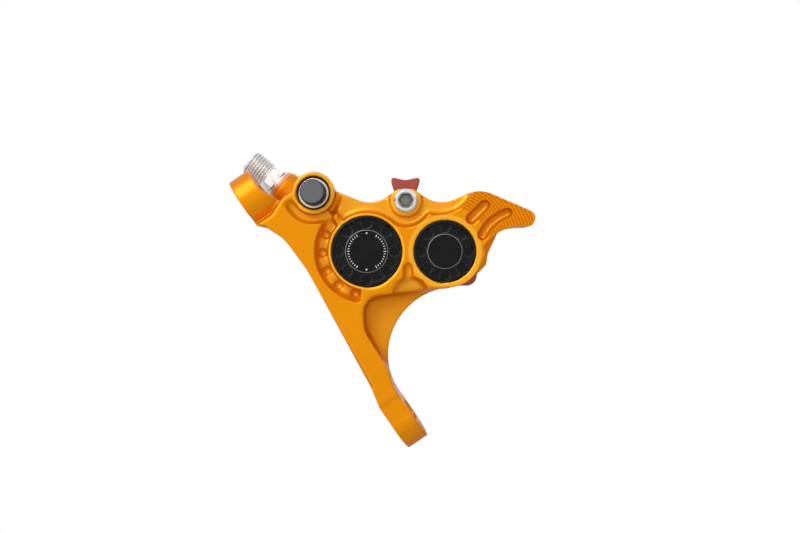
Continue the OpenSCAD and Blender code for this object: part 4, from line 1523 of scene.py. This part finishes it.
@dataclass
class Studio:
    """White studio: camera at the photograph's place, soft lamps, a bright world and a pale floor.

    A lamp is its name, its place from the point that it faces (along the bore line, up the picture and
    outboard, in metres), its side in metres and its power in watts.
    """

    eye: tuple[float, float, float] = (-1.6, -4.2, 300.0)
    lens: float = 45.486
    aim: tuple[float, float, float] = (0.0, -8.0, 10.0)
    lamps: tuple[tuple[str, tuple[float, float, float], float, float], ...] = (
        ("key_lamp", (-0.52, 0.72, 0.62), 0.8, 9.5),
        ("right_lamp", (0.66, 0.30, 0.72), 0.6, 0.8),
        ("low_lamp", (0.30, -0.66, 0.72), 0.6, 0.3),
        ("left_lamp", (-0.70, -0.24, 0.72), 0.6, 0.6),
        ("back_lamp", (0.1, 0.5, -0.8), 0.7, 2.0))
    soft_world: float = 0.2
    floor_level: float = -150.0
    floor_half: float = 900.0
    floor_grey: float = 0.8
    floor_dim: float = 0.35
    floor_glow: float = 0.86
    sensor: float = 36.0
    near: float = 0.01

    def build(self) -> None:
        """Sets up the whole studio."""
        self.camera()
        for lamp in self.lamps:
            self.lamp(*lamp)
        self.world()
        self.floor()
        bpy.context.scene.view_settings.view_transform = "Standard"

    def camera(self) -> None:
        """Puts the camera square to the outboard face, rolled so that the bore line is level."""
        data = bpy.data.cameras.new("camera")
        data.lens = self.lens
        data.sensor_width = self.sensor
        data.clip_start = self.near
        made = bpy.data.objects.new("camera", data)
        axes = np.eye(4)
        axes[:3, 0], axes[:3, 1], axes[:3, 2] = PLACE.right(), PLACE.up(), OUTBOARD
        axes[:3, 3] = PLACE.point(*self.eye)
        made.matrix_world = Matrix(axes.tolist())
        bpy.context.scene.collection.objects.link(made)
        bpy.context.scene.camera = made

    def lamp(self, name: str, arm: tuple[float, float, float], size: float, power: float) -> None:
        """Adds a square soft lamp that faces the caliper.

        Args:
            name: Name of the lamp.
            arm: Its place from the point that it faces.
            size: Its side.
            power: Its power.
        """
        data = bpy.data.lights.new(name, "AREA")
        data.size = size
        data.energy = power
        made = bpy.data.objects.new(name, data)
        offset = arm[0] * PLACE.right() + arm[1] * PLACE.up() + arm[2] * OUTBOARD
        made.rotation_mode = "QUATERNION"
        made.rotation_quaternion = Vector(offset).to_track_quat("Z", "Y")
        made.location = Vector(PLACE.point(*self.aim) + offset)
        bpy.context.scene.collection.objects.link(made)

    def world(self) -> None:
        """White to the camera, to gloss and through glass, and a softer level for diffuse light."""
        world = bpy.data.worlds.new("studio")
        bpy.context.scene.world = world
        world.use_nodes = True
        graph = Graph(world.node_tree)
        path = graph.add("ShaderNodeLightPath")
        seen = graph.math("ADD", path.outputs["Is Camera Ray"], path.outputs["Is Glossy Ray"])
        seen = graph.math("ADD", seen, path.outputs["Is Transmission Ray"], clamp=True)
        soft = graph.add("ShaderNodeBackground", {"Color": (1, 1, 1, 1), "Strength": self.soft_world})
        white = graph.add("ShaderNodeBackground", {"Color": (1, 1, 1, 1), "Strength": 1.0})
        both = graph.add("ShaderNodeMixShader", {0: seen, 1: soft.outputs[0], 2: white.outputs[0]})
        graph.add("ShaderNodeOutputWorld", {0: both.outputs[0]})

    def floor(self) -> None:
        """A pale floor below the caliper that is white to the camera where no shadow lies."""
        half = self.floor_half * MM
        corners = np.array([[-half, -half], [half, -half], [half, half], [-half, half]])
        points = np.column_stack([corners, np.full(4, self.floor_level * MM)])
        made = mesh_object("floor", points, np.array([[0, 1, 2, 3]]))
        paint = bpy.data.materials.new("pale_floor")
        paint.use_nodes = True
        graph = Graph(paint.node_tree)
        matt = graph.add("ShaderNodeBsdfDiffuse", {"Color": rgba((self.floor_grey,) * 3)})
        dim = graph.add("ShaderNodeBsdfDiffuse", {"Color": rgba((self.floor_dim,) * 3)})
        glow = graph.add("ShaderNodeEmission", {"Color": (1, 1, 1, 1), "Strength": self.floor_glow})
        shown = graph.add("ShaderNodeAddShader", {0: dim.outputs[0], 1: glow.outputs[0]})
        seen = graph.add("ShaderNodeLightPath").outputs["Is Camera Ray"]
        both = graph.add("ShaderNodeMixShader", {0: seen, 1: matt.outputs[0], 2: shown.outputs[0]})
        graph.add("ShaderNodeOutputMaterial", {"Surface": both.outputs[0]})
        made.data.materials.append(paint)


def main() -> None:
    """Builds the studio and every piece, in order."""
    logging.basicConfig(level=logging.INFO, format="%(name)s: %(message)s")
    Studio().build()
    effects = Effects()
    pieces = [
        CaliperBody(),
        BoreCap("bore_cap_large", LARGE_BLACK, LARGE_BORE, diameter=19.5, disc_r=LARGE_DISC_R),
        BoreCap("bore_cap_small", SMALL_BLACK, SMALL_BORE, diameter=17.1, disc_r=SMALL_DISC_R),
        Piece("pad_pin", "caliper", PIN_STEEL, "steel", edge=0.1),
        Piece("pad_pin_clip", "caliper", SPRING_STEEL, "spring_steel", edge=0.06),
        Piece("fitting_washer", "caliper", COPPER, "copper", edge=0.15),
        BleedScrew("bleed_screw", "bleed_valve", BLEED_STEEL, "steel", edge=0.25),
        Piece("pad_plate_outer", "outer_pad", RED_COAT, "plate_red", edge=0.4),
        Piece("pad_plate_inner", "inner_pad", RED_COAT, "plate_red", edge=0.4),
        Piece("pad_friction_outer", "outer_pad", FRICTION, "friction", edge=0.15),
        Piece("pad_friction_inner", "inner_pad", FRICTION, "friction", edge=0.15),
        PadSpring("pad_spring", "caliper", SPRING_STEEL, "spring_steel"),
        HoseFitting(),
        BleedCap(),
        TickRing(),
    ]
    for piece in pieces:
        made = piece.build(effects)
        LOG.info("%s: %d faces", made.name, len(made.data.polygons))
    LOG.info("kept CAD nodes: %s", ", ".join(InnerParts().dress(effects)))


if __name__ == "__main__":
    main()
